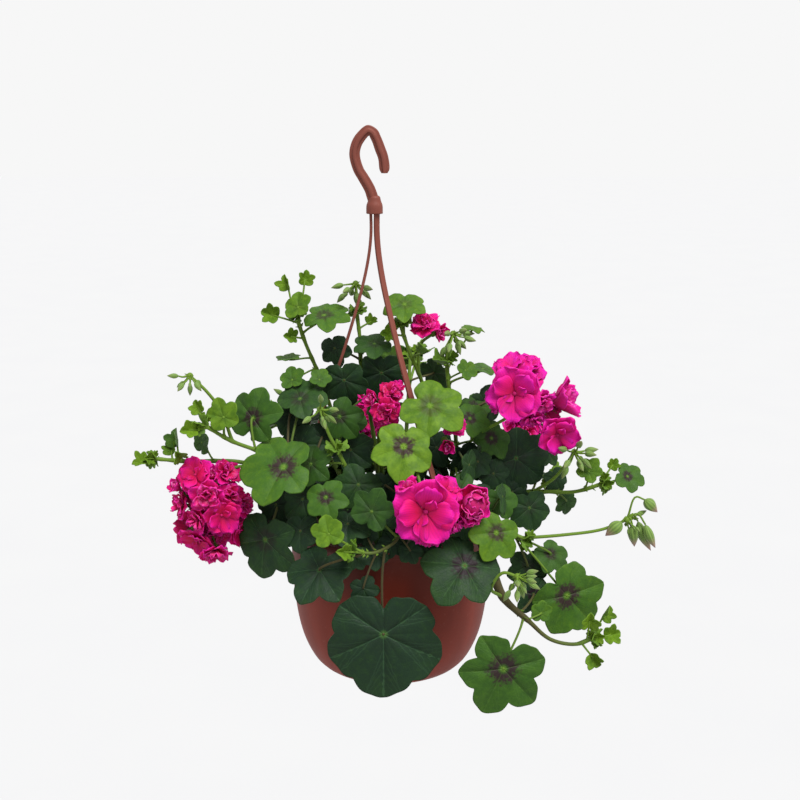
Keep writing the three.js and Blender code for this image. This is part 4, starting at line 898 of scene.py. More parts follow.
def leaf_sheet(radius, curl, seed, fold=0):
    """A blade with sunk veins and a rippled edge, folded up along its middle by a share of its breadth."""
    draw = dice(seed)
    segments, shares = next(plan[1:] for plan in LEAF_RINGS if radius > plan[0])
    waves = [(draw(0.004, 0.014), draw(3, 12) // 1, draw(*ANY_TURN)) for _ in range(3)]
    lobes = [draw(0.92, 1.04) for _ in range(5)]
    deep = 0.34 if radius <= FOLDED else 0.26 if radius < WIDE_LEAF else 0.13
    point = 1.45 if radius <= FOLDED else draw(1.3, 2.1)
    notches = [0.12, *(draw(0.7, 1.25) * deep for _ in range(4)), 0.12]
    ripple, ripples, phase = draw(0.02, 0.05), draw(2, 6) // 1, draw(*ANY_TURN)
    bm = fresh()
    bmesh.ops.create_circle(bm, segments=segments, radius=shares[0])
    edges = bm.edges[:]
    for near, far in zip(shares[1:], shares):
        verts, edges = next_ring(bm, edges)
        bmesh.ops.scale(bm, vec=(near / far, near / far, 1), verts=list(verts))
    bmesh.ops.poke(bm, faces=bmesh.ops.contextual_create(bm, geom=edges)["faces"])
    uv = bm.loops.layers.uv[BLADE_MAP]
    for vert in bm.verts:
        share = hypot(vert.co.x, vert.co.y)
        angle = atan2(vert.co.y, vert.co.x)
        reach = leaf_reach(angle, lobes, notches, point, radius > SPLIT_LEAF)
        reach *= 1 + sum(size * sin(count * angle + start) for size, count, start in waves)
        # The rings near the middle are rounder than the edge.
        round_share = 1 + (reach - 1) * min(share * 1.15, 1)
        u, v = (share * round_share * f(angle) for f in (cos, sin))
        for loop in vert.link_loops:
            loop[uv].uv = (u * 0.5 + 0.5, v * 0.5 + 0.5)
        from_vein = abs((angle + LOBE_TURN / 2) % LOBE_TURN - LOBE_TURN / 2)
        crease = -0.018 * hump(share * sin(from_vein) / 0.05) * min(share * 6, 1)
        bulge = 0.014 * sin(min(from_vein / LOBE_TURN * 2, 1) * pi) * sin(share * pi)
        wave = ripple * share ** 3 * sin(ripples * angle + phase)
        funnel = -0.02 * hump(share / 0.12)
        height = leaf_height(u * radius, v * radius, radius, curl)
        height += radius * (crease + bulge + wave + funnel + fold * abs(v))
        vert.co = (u * radius, v * radius, height)
    return thickened(bm, THICK_BLADE if radius > THICK_LEAF else THIN_BLADE)


def bezier(a, b, c, d, t):
    return a * (1 - t) ** 3 + b * 3 * t * (1 - t) ** 2 + c * 3 * t * t * (1 - t) + d * t ** 3


def grown_leaf(whole, line, seed, x, y, z, azimuth, elevation, roll, radius, tone, zone, curl=-0.1):
    """An open leaf, and its stalk from the stem to the middle of its back; says where the stalk leaves."""
    place = Vector((x, y, z))
    tip, across, normal = facing(azimuth, elevation, roll)
    put(whole, leaf_sheet(radius, curl, seed), (tone, zone), basis(place, tip, across, normal))
    middle = leaf_height(-0.3 * radius, 0, radius, curl) - 0.45
    end = place + normal * min(middle, 0)
    point, share = line.nearest(end, min(0.6 * radius, 12))
    span = (end - point).length
    side = -1 if (point - end).dot(normal) < 0 else 1
    along = line.along(share)
    first = point.lerp(end, 0.3) + along * 0.08 * span
    last = end + normal * side * 0.25 * min(span, radius)
    thick = 0.8 if radius < 18 else 1
    places, radii = [], []
    for i in range(LEAF_STALK_STEPS + 1):
        places.append(bezier(point, first, last, end + normal * side * 0.2, i / LEAF_STALK_STEPS))
        radii.append(thick * (1.15 + 0.45 * exp(-i) + 0.35 * exp((i - LEAF_STALK_STEPS) * 1.2)))
    put(whole, tube(places, radii, STALK_SIDES), (0.1 + 0.75 * tone * tone, 0, GREEN))
    for hand in (-1, 1):
        stipule(whole, point, along, (end - point).normalized(), hand, 2.4 * thick)
    return share


def stipule(whole, point, along, out, hand, size):
    """One of the two small pointed scales where a leaf-stalk leaves the stem."""
    across = along.cross(out).normalized()
    bm = fresh()
    bmesh.ops.create_grid(bm, x_segments=3, y_segments=2, size=1)
    for vert in bm.verts:
        t = vert.co.x * 0.5 + 0.5
        side = vert.co.y * (0.62 * (1 - t) ** 0.7 + 0.04)
        vert.co = (1.7 * t, side, 0.35 * t * t - 0.3 * side ** 2)
    way = (along * 0.55 + out * 0.25 + across * hand * 0.8).normalized()
    side = way.cross(out).normalized()
    place = point + across * hand * 1.9 + out * 0.6
    axes = way * size, side * size, way.cross(side) * size
    put(whole, thickened(bm, STIPULE_SHEET), (0.15, 0, GREEN), basis(place, *axes))


def young_leaf(whole, line, seed, x, y, z, azimuth, elevation, _, radius, tone, zone, curl=0.2):
    """A leaf that is still folded along its middle and pale; says where its stalk leaves the stem."""
    place = Vector((x, y, z))
    point, share = line.nearest(place, 0.5 * radius)
    tip = (place - point).normalized()
    across = looking(azimuth, elevation).cross(tip).normalized()
    up = tip.cross(across)
    put(whole, leaf_sheet(radius, curl * 0.5, seed, 0.95), (tone, zone), basis(place, tip, across, up))
    span = (place - point).length
    places, radii = [], []
    for i in range(YOUNG_STALK_STEPS + 1):
        way = i / YOUNG_STALK_STEPS
        places.append(point.lerp(place, way) + up * 0.05 * span * sin(way * pi))
        radii.append(0.95 + 0.35 * exp(-i))
    put(whole, tube(places, radii, THIN_SIDES), (0.05, 0, GREEN))
    return share


def low_leaves(line, count, seed):
    """Rows of small old leaves in reach of a stem's lower half."""
    draw = dice(seed)
    made = []
    for _ in range(count):
        foot = line.at(draw(0.1, 0.45))
        radius = draw(15, 23)
        elevation = draw(25, 65)
        place = foot + looking(draw(0, 360), 0) * radius * draw(0.9, 1.4)
        lowest = ABOVE_COMPOST + radius * cos(radians(elevation))
        place.z = max(foot.z + draw(0, 25), lowest)
        turned = outwards(place) + draw(-30, 30), elevation, draw(-60, 60)
        made.append((*place, *turned, radius, draw(0.6, 1), draw(0.1, 0.8)))
    return made


# ---- Stems and buds ----

ROOT_RADIUS, TIP_RADIUS, SLENDER_SHARE = 2.7, 1.7, 0.66
SWELL, SWELL_LENGTH = 0.22, 3.2  # how much thicker a stem is where a leaf leaves it, and over what length
BULGE = 2.2  # how much thicker old wood is in its middle
KNOB = 4.4  # size of an umbel's knob
KNOB_SCALES, KNOB_SCALE = 7, (1.3, 0.15, 4.6, (1, 0.4, 1))
SCALE_SPREAD, BUD_SPREAD, SMALL_SPREAD = 115, 80, 60  # how far from the umbel's own way they lean
SMALL_BUDS, SMALL_BUD = 4, 0.62  # the small buds among an umbel's grown ones, and their size


def stem(whole, line, nodes_at, woody, slender):
    """The main stem: thicker and browner at its root, swollen where leaves leave it, and bulged in its
    middle where it is thick old wood."""
    steps = max(int(line.length / STEM_STEP), 20)
    places = line.evenly(steps)
    radii = []
    for share in (i / steps for i in range(steps + 1)):
        swell = sum(hump((share - at) * line.length / SWELL_LENGTH) for at in nodes_at)
        thick = ROOT_RADIUS + (TIP_RADIUS - ROOT_RADIUS) * share
        thick *= (SLENDER_SHARE if slender else 1) * (1 + SWELL * min(swell, 1.2))
        if woody and not slender:
            thick += BULGE * hump((share - 0.5) / 0.14)
        radii.append(thick)
    bm = marked(tube(places, radii, STEM_SIDES), 0, 0, GREEN)
    tone = bm.verts.layers.float["tone"]
    for vert in bm.verts:
        to_root, to_tip = ((vert.co - end).length for end in (places[0], places[-1]))
        rest = 1 - to_root / (to_root + to_tip)
        vert[tone] = (0.95 * rest ** 0.35 if woody else 0.6 * rest ** 0.8) + 0.04
    put(whole, bm, None)


def stalk(whole, places, thick, thin, tone):
    """A long stalk that thins out along its way."""
    line = Line(places)
    steps = max(int(line.length / STALK_STEP), 8)
    radii = [thick + (thin - thick) * i / steps + 0.5 * exp(-i * 0.8) for i in range(steps + 1)]
    put(whole, tube(line.evenly(steps), radii, STALK_SIDES), (tone, 0, GREEN))


def bud(whole, length, radius, ripe, seed, matrix):
    """A closed bud: pointed oval with five soft ribs, base at the origin, tip along Z; a ripe one shows
    the petals' pink at its tip."""
    bend = dice(seed)(-0.12, 0.12)
    bm = fresh()
    bmesh.ops.create_uvsphere(bm, u_segments=20, v_segments=9, radius=1)
    uv = bm.loops.layers.uv[BLADE_MAP]
    for vert in bm.verts:
        turn = atan2(vert.co.y, vert.co.x)
        share = acos(max(-1, min(1, -vert.co.z))) / pi
        wide = radius * sin(pi * share ** 0.85) ** 0.9 * (1.12 - 0.35 * share)
        wide *= 1 + 0.07 * cos(5 * turn)
        for loop in vert.link_loops:
            loop[uv].uv = ((turn / pi + 1) / 2, share)
        lean = bend * length * share * share
        vert.co = (wide * cos(turn) + lean, wide * sin(turn), length * share)
    put(whole, bm, (0.1, ripe, CALYX), matrix)


def umbel(whole, plan, seed):
    """The head of an umbel: a scaly knob with buds on stalks of unlike lengths."""
    _, _, centre, azimuth, elevation, reach, buds = plan
    draw = dice(seed)
    centre = Vector(centre)
    put(whole, ball(0.72 * KNOB), (0.1, 0, GREEN), Matrix.Translation(centre))
    for way in spread(KNOB_SCALES, azimuth, elevation, SCALE_SPREAD):
        scale = towards(centre + way * 0.75 * KNOB, way, draw(0, 6))
        put(whole, spike(*KNOB_SCALE), (0.2, 0, GREEN), scale)
    if not isinstance(buds, int):
        for i, (foot, tip, half) in enumerate(buds):
            foot, tip = Vector(foot), Vector(tip)
            way = (tip - foot).normalized()
            bend = centre.lerp(foot, 0.6) + UP * 0.35 * (foot - centre).length - way * 3
            stalk(whole, [centre + (bend - centre).normalized() * 0.5 * KNOB, bend, foot], 1, 0.9, 0.1)
            bud(whole, (tip - foot).length, half, 1, seed * 13 + i, towards(foot, way, draw(0, 6)))
        buds = 2
        reach *= 0.7
    ways = [(way, 1, i) for i, way in enumerate(spread(buds, azimuth, elevation, BUD_SPREAD))]
    small = spread(SMALL_BUDS, azimuth + 40, elevation, SMALL_SPREAD)
    for way, size, i in ways + [(way, SMALL_BUD, i) for i, way in enumerate(small)]:
        length = reach * (0.4 + 0.15 * (i % 3)) * (1 if size == 1 else 0.8)
        start = centre + way * 0.55 * KNOB
        sag = looking(azimuth, elevation) * 0.08 * length * draw(-1, 1) - UP * 0.06 * length
        places = [start, start + way * 0.5 * length + sag, start + way * length]
        stalk(whole, places, 0.95 * size ** 0.5, 0.75 * size ** 0.5, 0.05)
        frame = towards(start + way * (length - 0.5), way, draw(0, 6))
        bud(whole, 0.76 * reach * size, 0.165 * reach * size, 0.2, seed * 13 + i, frame)


# ---- Blooms ----
# Kinds of floret: rings of petals (count, half-width, foot, knee and tip (out, up), cup, ruffle, notch,
# first turn), how unlike each other its petals are, how pale its inner ones, how far its face is from its
# foot, radius and height of its crimson middle.

FLORET_KINDS = {
    "open": ([
        (5, 0.52, (0.03, 0.08), (0.5, 0.24), (1.04, 0.3), 0.03, 0.07, 0.06, 0),
        (4, 0.4, (0.02, 0.1), (0.4, 0.25), (0.84, 0.38), 0.04, 0.08, 0.06, 0.5),
        (2, 0.2, (0.01, 0.12), (0.2, 0.22), (0.44, 0.32), 0.12, 0.06, 0.03, 0.2),
    ], 0.12, 0, 0.33, 0.08, 0.12),
    "ragged": ([
        (5, 0.42, (0.05, 0.1), (0.45, 0.42), (1, 0.36), 0.08, 0.09, 0.09, 0),
        (5, 0.33, (0.04, 0.14), (0.34, 0.55), (0.76, 0.6), 0.16, 0.1, 0.08, 0.5),
        (4, 0.24, (0.03, 0.18), (0.24, 0.62), (0.48, 0.74), 0.3, 0.09, 0.05, 0.2),
        (2, 0.16, (0.02, 0.22), (0.12, 0.66), (0.2, 0.84), 0.8, 0.05, 0, 0.7),
    ], 0.2, 0.15, 0.4, 0.16, 0.4),
    "bell": ([
        (5, 0.42, (0.06, 0.08), (0.36, 0.5), (0.78, 1), 0.2, 0.06, 0.06, 0),
        (4, 0.26, (0.04, 0.12), (0.2, 0.5), (0.36, 0.95), 0.4, 0.05, 0.03, 0.5),
    ], 0.12, 0.5, 0.6, 0.08, 0.12),
    "cup": ([
        (5, 0.44, (0.03, 0.05), (0.74, 0.1), (0.86, 0.58), 0.3, 0.06, 0.05, 0),
        (5, 0.38, (0.02, 0.1), (0.6, 0.34), (0.6, 0.84), 0.3, 0.07, 0.04, 0.5),
        (4, 0.3, (0.02, 0.16), (0.42, 0.56), (0.34, 0.98), 0.35, 0.07, 0.03, 0.2),
        (3, 0.24, (0.01, 0.2), (0.2, 0.74), (0.08, 1.06), 0.5, 0.06, 0, 0.4),
    ], 0.18, 0.5, 0.5, 0.52, 0.42),
}
PETAL_ROWS, PETAL_COLUMNS = 8, 7
PETAL_SHEET = 0.03
SEPALS, SEPAL = 5, (0.09, 0.012, 0.42, (0.4, 1, 1))
HEAD_KNOB = 3.2
STALKLESS = 4  # a floret whose foot is nearer to the head's middle shows no stalk
FACE_RISES = {kind: plan[3] for kind, plan in FLORET_KINDS.items()}
FLORET_SEEDS = (3, 5, 8)
# How far a head's petals lean to crimson (below 0) or violet (above 0), for its age.
BLOOM_HUES = {
    "bloom_left": -0.55, "bloom_centre": -0.9, "bloom_middle": -0.6, "bloom_top": -0.5, "bloom_right": 0.45,
    "bloom_opening": -0.4,
}


def petal(width, foot, knee, tip, cup, ruffle, notch, seed):
    """A petal for a floret of radius 1 that opens along X: its middle bends from foot by knee to tip."""
    draw = dice(seed)
    phase, phase2 = draw(*ANY_TURN), draw(*ANY_TURN)
    bm = fresh()
    bmesh.ops.create_grid(bm, x_segments=PETAL_ROWS, y_segments=PETAL_COLUMNS, size=1)
    uv = bm.loops.layers.uv[BLADE_MAP]
    for vert in bm.verts:
        side = vert.co.y
        t = vert.co.x * 0.5 + 0.5
        for loop in vert.link_loops:
            loop[uv].uv = (side * 0.5 + 0.5, t)
        shape = 0.16 + 0.84 * sin(pi / 2 * min(t / 0.68, 1)) ** 1.3
        shape *= sqrt(1 - 0.72 * max(0, (t - 0.68) / 0.32) ** 2)
        s = t * (1 - 0.17 * abs(side) ** 2.2 * t - notch * hump(side / 0.25) * t ** 4)
        r, h = ((1 - s) ** 2 * a + 2 * s * (1 - s) * b + s ** 2 * c for a, b, c in zip(foot, knee, tip))
        # The petal's own up direction, square to its middle line.
        dr, dh = (2 * (1 - s) * (b - a) + 2 * s * (c - b) for a, b, c in zip(foot, knee, tip))
        slope = hypot(dr, dh)
        lift = cup * width * shape * side * side
        lift += ruffle * t * t * (sin(4.2 * side + phase) + 0.6 * sin(7 * t + phase2) * abs(side))
        vert.co = (r - dh / slope * lift, side * width * shape, h + dr / slope * lift)
    return thickened(bm, PETAL_SHEET)


def floret(rings, unlike, pale, _, middle, rise, seed):
    """A floret of radius 1 that faces along Z: rings of petals and a green calyx below."""
    draw = dice(seed)
    whole = fresh()
    for number, (count, width, foot, knee, tip, cup, ruffle, notch, turn) in enumerate(rings):
        for i in range(count):
            wide = width * draw(0.88, 1.12)
            lift = draw(-unlike, unlike)
            bent = tip[0] * draw(1 - 0.6 * unlike, 1.04), tip[1] + lift
            up = knee[0], knee[1] + 0.5 * lift
            look = draw(0, 1), pale * (number > 0) * draw(0.3, 1.4)
            cupped = cup * draw(0.6, 1.3)
            part = petal(wide, foot, up, bent, cupped, ruffle, notch, seed * 31 + number * 7 + i)
            angle = 2 * pi * (i + turn + draw(-0.7, 0.7) * unlike) / count
            tilt = Matrix.Rotation(draw(-1.6, 1.6) * unlike, 4, "X")
            put(whole, part, look, Matrix.Rotation(angle, 4, "Z") @ tilt)
    for i in range(SEPALS):
        turn = Matrix.Rotation(2 * pi * (i + 0.5) / SEPALS, 4, "Z")
        hang = Matrix.Translation((0.19, 0, 0.02)) @ Matrix.Rotation(1.15, 4, "Y")
        put(whole, spike(*SEPAL), (0.3, 0, GREEN), turn @ hang)
    base = fresh()
    bmesh.ops.create_uvsphere(base, u_segments=12, v_segments=8, radius=0.11)
    put(whole, base, (0.1, 0, GREEN), Matrix.Translation((0, 0, -0.05)))
    put(whole, ball(middle, 2), (), Matrix.Translation((0, 0, rise)))
    return whole


FLORETS = {kind: [floret(*plan, seed) for seed in FLORET_SEEDS] for kind, plan in FLORET_KINDS.items()}


def bloom(name, plan, seed):
    """A head: its florets on stalks from one middle."""
    _, _, centre, florets = plan
    draw = dice(seed)
    centre = Vector(centre)
    whole = fresh()
    for i, (x, y, z, azimuth, elevation, radius, *kind) in enumerate(florets):
        kind = kind[0] if kind else "ragged"
        tip, across, normal = facing(azimuth, elevation)
        foot = Vector((x, y, z)) - normal * FACE_RISES[kind] * radius
        turn = Matrix.Rotation(draw(*ANY_TURN), 4, "Z") @ Matrix.Scale(radius, 4)
        put(whole, FLORETS[kind][i % 3].copy(), None, basis(foot, tip, across, normal) @ turn)
        if (foot - centre).length > STALKLESS:
            bend = centre.lerp(foot, 0.5) + (foot - centre).length * 0.12 * (normal.orthogonal() - normal)
            stalk(whole, [centre, bend, foot + normal * 1.5], 0.85, 0.95, 0.5)
    tone = whole.verts.layers.float["tone"]
    for vert in {v for face in whole.faces if face.material_index == FIRST for v in face.verts}:
        vert[tone] += BLOOM_HUES.get(name, 0)
    put(whole, ball(HEAD_KNOB), (0.2, 0, GREEN), Matrix.Translation(centre))
    finished(f"{name}_petals", whole, [PETAL, STEM], "petals", name)


# ---- Whole stems ----

TIP_LEAVES = 8
GOLDEN_TURN = 2.4  # from one leaf of a shoot tip to the next
STALK_FOOT, STALK_END = 1.7, 1.45  # radii of the stalks of umbels and blooms

def shoot_tip(whole, line, seed):
    """The crowded, pale, still folded leaves round the growing point at a stem's end."""
    draw = dice(seed)
    end, along = line.at(1), line.along(0.995)
    for i in range(TIP_LEAVES):
        lean = radians(16 + 9 * i)
        side = along.orthogonal().normalized()
        side = Matrix.Rotation(i * GOLDEN_TURN + draw(-0.4, 0.4), 3, along) @ side
        way = along * cos(lean) + side * sin(lean)
        size = draw(4.5, 7.5)
        place = end + way * (1.6 + size * draw(0.5, 0.9))
        across = side.cross(way).normalized()
        tone, fold = draw(0, 0.16), draw(0.5, 0.9)
        sheet = leaf_sheet(size, 0.25, seed * 17 + i, fold)
        put(whole, sheet, (tone,), basis(place, way, across, way.cross(across)))
        put(whole, tube([end, end.lerp(place, 0.5), place], [0.8, 0.7, 0.6], THIN_SIDES), (0, 0, GREEN))


def plant(name, plan, seed):
    """A stem with all that grows on it; its blooms are pieces of their own."""
    whole = fresh()
    line = stem_line(plan["route"])
    umbels, blooms = plan.get("umbels", []), plan.get("blooms", {})
    low = LOW_LEAVES_BEHIND if name in BACK_STEMS else LOW_LEAVES * (name in LOW_LEAVED)
    shares = []
    for i, leaf in enumerate(plan["leaves"] + low_leaves(line, low, seed + 700)):
        grow = grown_leaf if leaf[6] > FOLDED else young_leaf
        shares.append(grow(whole, line, seed * 101 + i, *leaf))
    for at, via, centre, *_ in [*umbels, *blooms.values()]:
        shares.append(at)
        stalk(whole, [line.at(at), *map(Vector, via), Vector(centre)], STALK_FOOT, STALK_END, 0.12)
    stem(whole, line, shares, name in WOODY, name == SLENDER)
    for i, one in enumerate(umbels):
        umbel(whole, one, seed * 7 + i)
    shoot_tip(whole, line, seed + 400)
    finished(f"{name}_foliage", whole, [LEAF, STEM, BUD], "leaves", f"stem_{name}")
    for i, (head, one) in enumerate(blooms.items()):
        bloom(head, one, seed * 11 + i)


for number, (name, plan) in enumerate(STEMS.items()):
    plant(name, plan, number + 1)

# ---- Pot, soil and hanger ----
# Outlines are pairs of radius and height; the socket's is measured from its foot, the hook from its seat.

BELLY = (78, 0), (84, 7), (94, 30), (101, 70), (104, 148)
HOLLOW = (102, 148), (99, 70), (92, 30), (82, 8), (77, 2)
POT_BASE = (0, 0), (73, 0), (77, 0)
RIM = (
    (104.6, 148), (110, 148), (110.7, 148.3), (111, 149), (111, 154), (110.7, 154.7), (110, 155), (103, 155),
    (102.3, 154.6),
)
FLOOR_TOP = (70, 2), (0, 2)
ROUND = 120  # segments round the pot
DRAINS, DRAIN_CIRCLE, DRAIN_RADIUS, DRAIN_SIDES = 6, 48, 5, 28
CUT_DEPTH = 14  # height of the bodies that cut the drains and slots
SOIL_SIDE = (0, 2.4), (76.6, 2.4), (81.6, 8.4), (91.6, 30), (98.6, 70), (101, 137), (101, 139.5)
SOIL_TOP, SOIL_LOWEST, SOIL_HIGHEST = 140.4, 136, 144
SOIL_RINGS, SOIL_RING = 25, 4  # the rings of its top, and how far apart they are
SOIL_EDGE = 140  # what is higher belongs to its uneven top
SOIL_BUMPS = 90
SOIL_SEGMENTS = 96
STRAP_AZIMUTHS = {"strap_left": 183, "strap_front": 303, "strap_back": 63}
STRAP_WIDTH, STRAP_THICK, STRAP_EASE = 5.8, 2.8, 0.7
STRAP_CIRCLE = 107.2  # radius of the slots' middles
STRAP_INSET = 2.4  # from the socket's axis to a strap
# Heights of a strap, and its share of the way out to its slot.
STRAP_SPREAD = (471, 0), (440, 0), (405, 0.06), (331, 0.3), (200, 0.83), (161, 1), (151, 1), (143.5, 1)
STRAP_STEPS = 150
CHANNEL = 0.93  # share of the strap's thickness that its channels leave
# Thickness, width, height and rounding of a strap's T-bar and of its catch, and where they are.
T_BAR, T_BAR_Z = (STRAP_THICK, 12, 3.6, 0.6), 144.3
CATCH, CATCH_OUT, CATCH_UP = (2.3, 2.4, 1.6, 0.3), 0.35, 5.4
SLOT_GAP = 0.4
SLOT_Z = 152
SOCKET = Vector((-15.2, 0, 462.5))
SOCKET_SEGMENTS = 48
SOCKET_INSIDE = (
    (0, 8.9), (5.9, 8.9), (6.3, 8.5), (6.3, 7), (7.1, 6.6), (7.1, 4.2), (6.3, 4.2), (6.3, 0.3), (6.7, 0),
    (7.8, 0),
)
SOCKET_FLARE = (8.1, 0.3), (7.8, 8), (6.4, 12), (5.6, 15.5)
SOCKET_TOP = (4.6, 16.9), (2.4, 17.4), (0, 17.5)
# The hook's outer edge and its inner edge, as X and Z each.
HOOK_SECTIONS = (
    (-0.8, -64, 10.4, -64), (-2.7, -58, 8.7, -58), (-4.5, -52.4, 4.8, -47.4), (-10.6, -41.4, -1.7, -36.2),
    (-15.3, -33, -5.6, -30), (-19.1, -18, -8.9, -18), (-17, -6.4, -7.5, -10), (-11.7, 2.3, -4.1, -4.3),
    (-1.5, 10, 0, 0), (7.5, 6, 1, -1.8), (11.6, -1.5, 3.2, -6.5), (15, -10, 5.7, -13.9),
    (18.2, -19.3, 8.6, -21.7), (19.4, -31.3, 9.8, -31.6), (17.5, -35, 11.5, -35),
)
# Half of the hook's cross-section: share of its breadth, half thickness.
HOOK_HALF = (
    (0, 0.7), (0.02, 1.5), (0.06, 1.95), (0.12, 2), (0.24, 2), (0.28, 2.25), (0.305, 3.1), (0.33, 3.95),
    (0.38, 4.3), (0.5, 4.3), (0.62, 4.3), (0.67, 3.95), (0.695, 3.1), (0.72, 2.25), (0.76, 2), (0.88, 2),
    (0.94, 1.95), (0.98, 1.5), (1, 0.7),
)


def turned(profile, centre=(0, 0), segments=ROUND):
    """A body turned from its outline of radii and heights about an upright axis."""
    bm = fresh()
    verts = [bm.verts.new((r, 0, z)) for r, z in profile]
    edges = [bm.edges.new(pair) for pair in zip(verts, verts[1:])]
    bmesh.ops.spin(bm, geom=verts + edges, cent=(0, 0, 0), axis=UP, angle=2 * pi, steps=segments,
                   use_merge=True)
    bmesh.ops.remove_doubles(bm, verts=bm.verts, dist=1e-4)
    bmesh.ops.translate(bm, vec=(*centre, 0), verts=bm.verts)
    bmesh.ops.recalc_face_normals(bm, faces=bm.faces)
    return marked(bm)


def eased(points, steps):
    """Points of a smooth line through an outline's points."""
    line = Line([Vector((r, 0, z)) for r, z in points], steps)
    return [(p.x, p.z) for p in line.samples]


def strap_plane(azimuth):
    """How far a strap's slot is from the socket's axis, the way across the strap, and what gives a frame
    so far out and so high."""
    a = radians(azimuth)
    axis = SOCKET * Vector((1, 1, 0))
    way = Vector((STRAP_CIRCLE * cos(a), STRAP_CIRCLE * sin(a), 0)) - axis
    length = way.length
    way.normalize()
    across = Vector((-way.y, way.x, 0))
    return length, across, lambda out, z: basis(axis + way * out + UP * z, way, across, UP)


def soft_box(width, depth, height, ease):
    """A box with rounded edges."""
    bm = fresh()
    bmesh.ops.create_cube(bm, size=1)
    bmesh.ops.scale(bm, vec=(width, depth, height), verts=bm.verts)
    bmesh.ops.bevel(bm, geom=bm.edges[:], offset=ease, segments=3, profile=0.5, affect="EDGES", material=-1)
    return bm


def strap(name, azimuth):
    """A flat strap with its T-bar below the rim and its catch on the socket's ledge."""
    length, across, at = strap_plane(azimuth)
    near = STRAP_INSET + STRAP_THICK / 2
    points = [[near + share * (length - near), z] for z, share in STRAP_SPREAD]
    points[0][1] -= SLOT_GAP
    places = Line([at(*point).to_translation() for point in points], 14).evenly(STRAP_STEPS)
    wide, thick = STRAP_WIDTH / 2 - STRAP_EASE, STRAP_THICK / 2 - STRAP_EASE
    section = []
    for cx, cy, first in ((1, 1, 0), (-1, 1, 90), (-1, -1, 180), (1, -1, 270)):
        for t in (radians(first + 30 * k) for k in range(4)):
            section.append((cx * wide + STRAP_EASE * cos(t), cy * thick + STRAP_EASE * sin(t)))
    rings = []
    for place, along in zip(places, ways_along(places)):
        out = across.cross(along).normalized()
        # A shallow channel runs down both faces.
        depths = [b * (CHANNEL if abs(a) < wide - 0.01 else 1) for a, b in section]
        rings.append([place + across * a + out * b for (a, _), b in zip(section, depths)])
    whole = fresh()
    put(whole, skin(rings, pointed=False))
    put(whole, soft_box(*T_BAR), (), at(length, T_BAR_Z))
    put(whole, soft_box(*CATCH), (), at(near + STRAP_THICK / 2 + CATCH_OUT, SOCKET.z + CATCH_UP))
    finished(f"{name}_band", whole, [HANGER_PLASTIC], "hanger_plastic", name)


def hook():
    """The ribbed hook, which ends in the hollow socket for the straps."""
    outer, inner = (
        Line([SEAT + Vector((row[k], 0, row[k + 1])) for row in HOOK_SECTIONS], 9).samples for k in (0, 2)
    )
    section = [*HOOK_HALF, *((share, -half) for share, half in reversed(HOOK_HALF))]
    rings = []
    for a, b in zip(outer, inner):
        rings.append([a.lerp(b, share) + Vector((0, half, 0)) for share, half in section])
    whole = fresh()
    put(whole, skin(rings, pointed=False))
    profile = *SOCKET_INSIDE, *eased(SOCKET_FLARE, 7), *SOCKET_TOP
    put(whole, turned([(r, z + SOCKET.z) for r, z in profile], SOCKET.xy, SOCKET_SEGMENTS))
    finished("hook_moulding", whole, [HANGER_PLASTIC], "hanger_plastic", "hook")


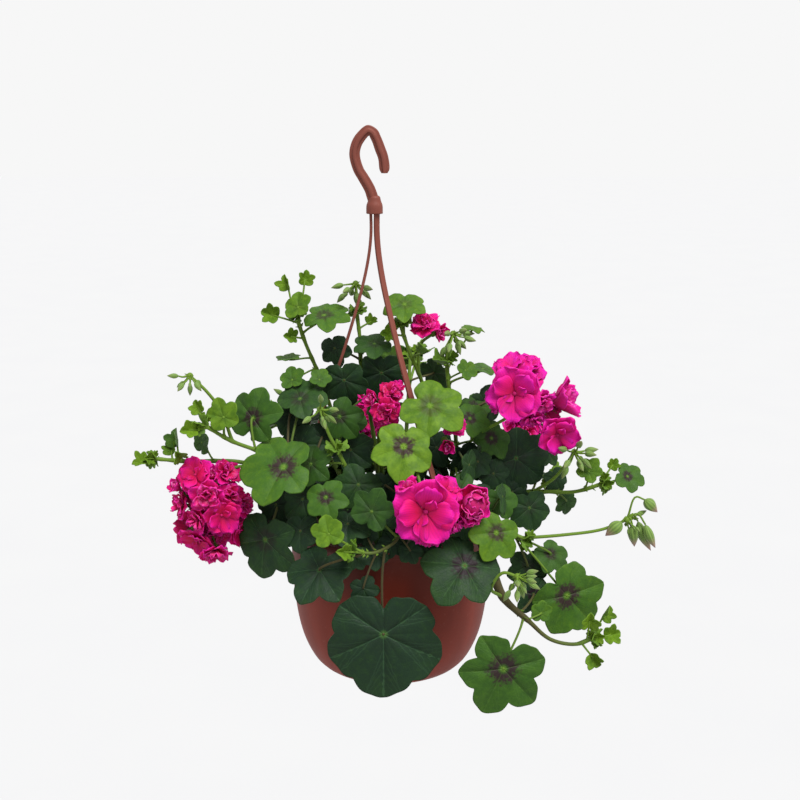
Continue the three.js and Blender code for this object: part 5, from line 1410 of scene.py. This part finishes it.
def pot():
    """The moulded bowl, cut by its drain holes and the straps' slots."""
    whole = turned([*POT_BASE, *eased(BELLY, 8)[1:], *RIM, *eased(HOLLOW, 8), *FLOOR_TOP])
    cut = fresh()
    for i in range(DRAINS):
        turn = 2 * pi / DRAINS * i
        drain = fresh()
        bmesh.ops.create_cone(drain, cap_ends=True, segments=DRAIN_SIDES, radius1=DRAIN_RADIUS,
                              radius2=DRAIN_RADIUS, depth=CUT_DEPTH)
        place = DRAIN_CIRCLE * cos(turn), DRAIN_CIRCLE * sin(turn), 2
        put(cut, drain, (), Matrix.Translation(place))
    for azimuth in STRAP_AZIMUTHS.values():
        length, _, at = strap_plane(azimuth)
        slot = soft_box(STRAP_THICK + 2 * SLOT_GAP, STRAP_WIDTH + 2 * SLOT_GAP, CUT_DEPTH, 0.3)
        put(cut, slot, (), at(length, SLOT_Z))
    body, tool = in_scene("body", as_mesh(whole)), in_scene("tool", as_mesh(cut))
    boolean = body.modifiers.new("cut", "BOOLEAN")
    boolean.object, boolean.operation, boolean.solver = tool, "DIFFERENCE", "EXACT"
    made = bpy.data.meshes.new_from_object(body.evaluated_get(bpy.context.evaluated_depsgraph_get()))
    whole = fresh()
    whole.from_mesh(made)
    for mesh in (body.data, tool.data, made):
        bpy.data.meshes.remove(mesh)  # an object that uses the mesh goes with it
    finished("pot_shell", marked(whole), [POT_PLASTIC], "pot_plastic", "pot")


def soil():
    """The compost, with an uneven top."""
    top = [(100.5 - SOIL_RING * i, SOIL_TOP) for i in range(SOIL_RINGS)]
    whole = turned([*SOIL_SIDE, *top, (0, SOIL_TOP)], segments=SOIL_SEGMENTS)
    draw = dice(77)
    bumps = []
    for _ in range(SOIL_BUMPS):
        bumps.append((Vector((draw(-95, 95), draw(-95, 95))), draw(6, 22), draw(-1.2, 1.4)))
    for vert in whole.verts:
        if vert.co.z > SOIL_EDGE:
            here = vert.co.xy
            vert.co.z += sum(size * hump((here - place).length / wide) for place, wide, size in bumps)
            vert.co.z = max(min(vert.co.z, SOIL_HIGHEST), SOIL_LOWEST)
    finished("soil_crumbs", whole, [SOIL], "potting_soil", "soil")


pot()
soil()
hook()
for name, azimuth in STRAP_AZIMUTHS.items():
    strap(name, azimuth)

# ---- Stage ----

FLOOR_Z, FLOOR_SIZE = -1.75, 30  # metres, the first one from the hook's seat
SKY_STRENGTH, SUN_STRENGTH = 0.93, 5
SUN_FROM, SUN_BREADTH = (34, 60), 30  # degrees; the broad sun leaves soft shades


def stage():
    """A plain pale floor well below the pot, and soft light from above, the front and the sides."""
    bm = bmesh.new()
    bmesh.ops.create_grid(bm, x_segments=1, y_segments=1, size=FLOOR_SIZE)
    floor = in_scene("floor", as_mesh(bm, "floor"))
    floor.location.z = FLOOR_Z
    floor.data.materials.append(floor_material())
    world = bpy.data.worlds.new("studio")
    world.use_nodes = True
    sky = world.node_tree.nodes["Background"]
    plug(world.node_tree, sky, [("Color", "#ffffff"), ("Strength", SKY_STRENGTH)])
    scene.world = world
    light = in_scene("sky_light", bpy.data.lights.new("sky_light", "SUN"))
    light.data.energy = SUN_STRENGTH
    light.data.angle = radians(SUN_BREADTH)
    light.rotation_euler = looking(*SUN_FROM).to_track_quat("Z", "Y").to_euler()


stage()
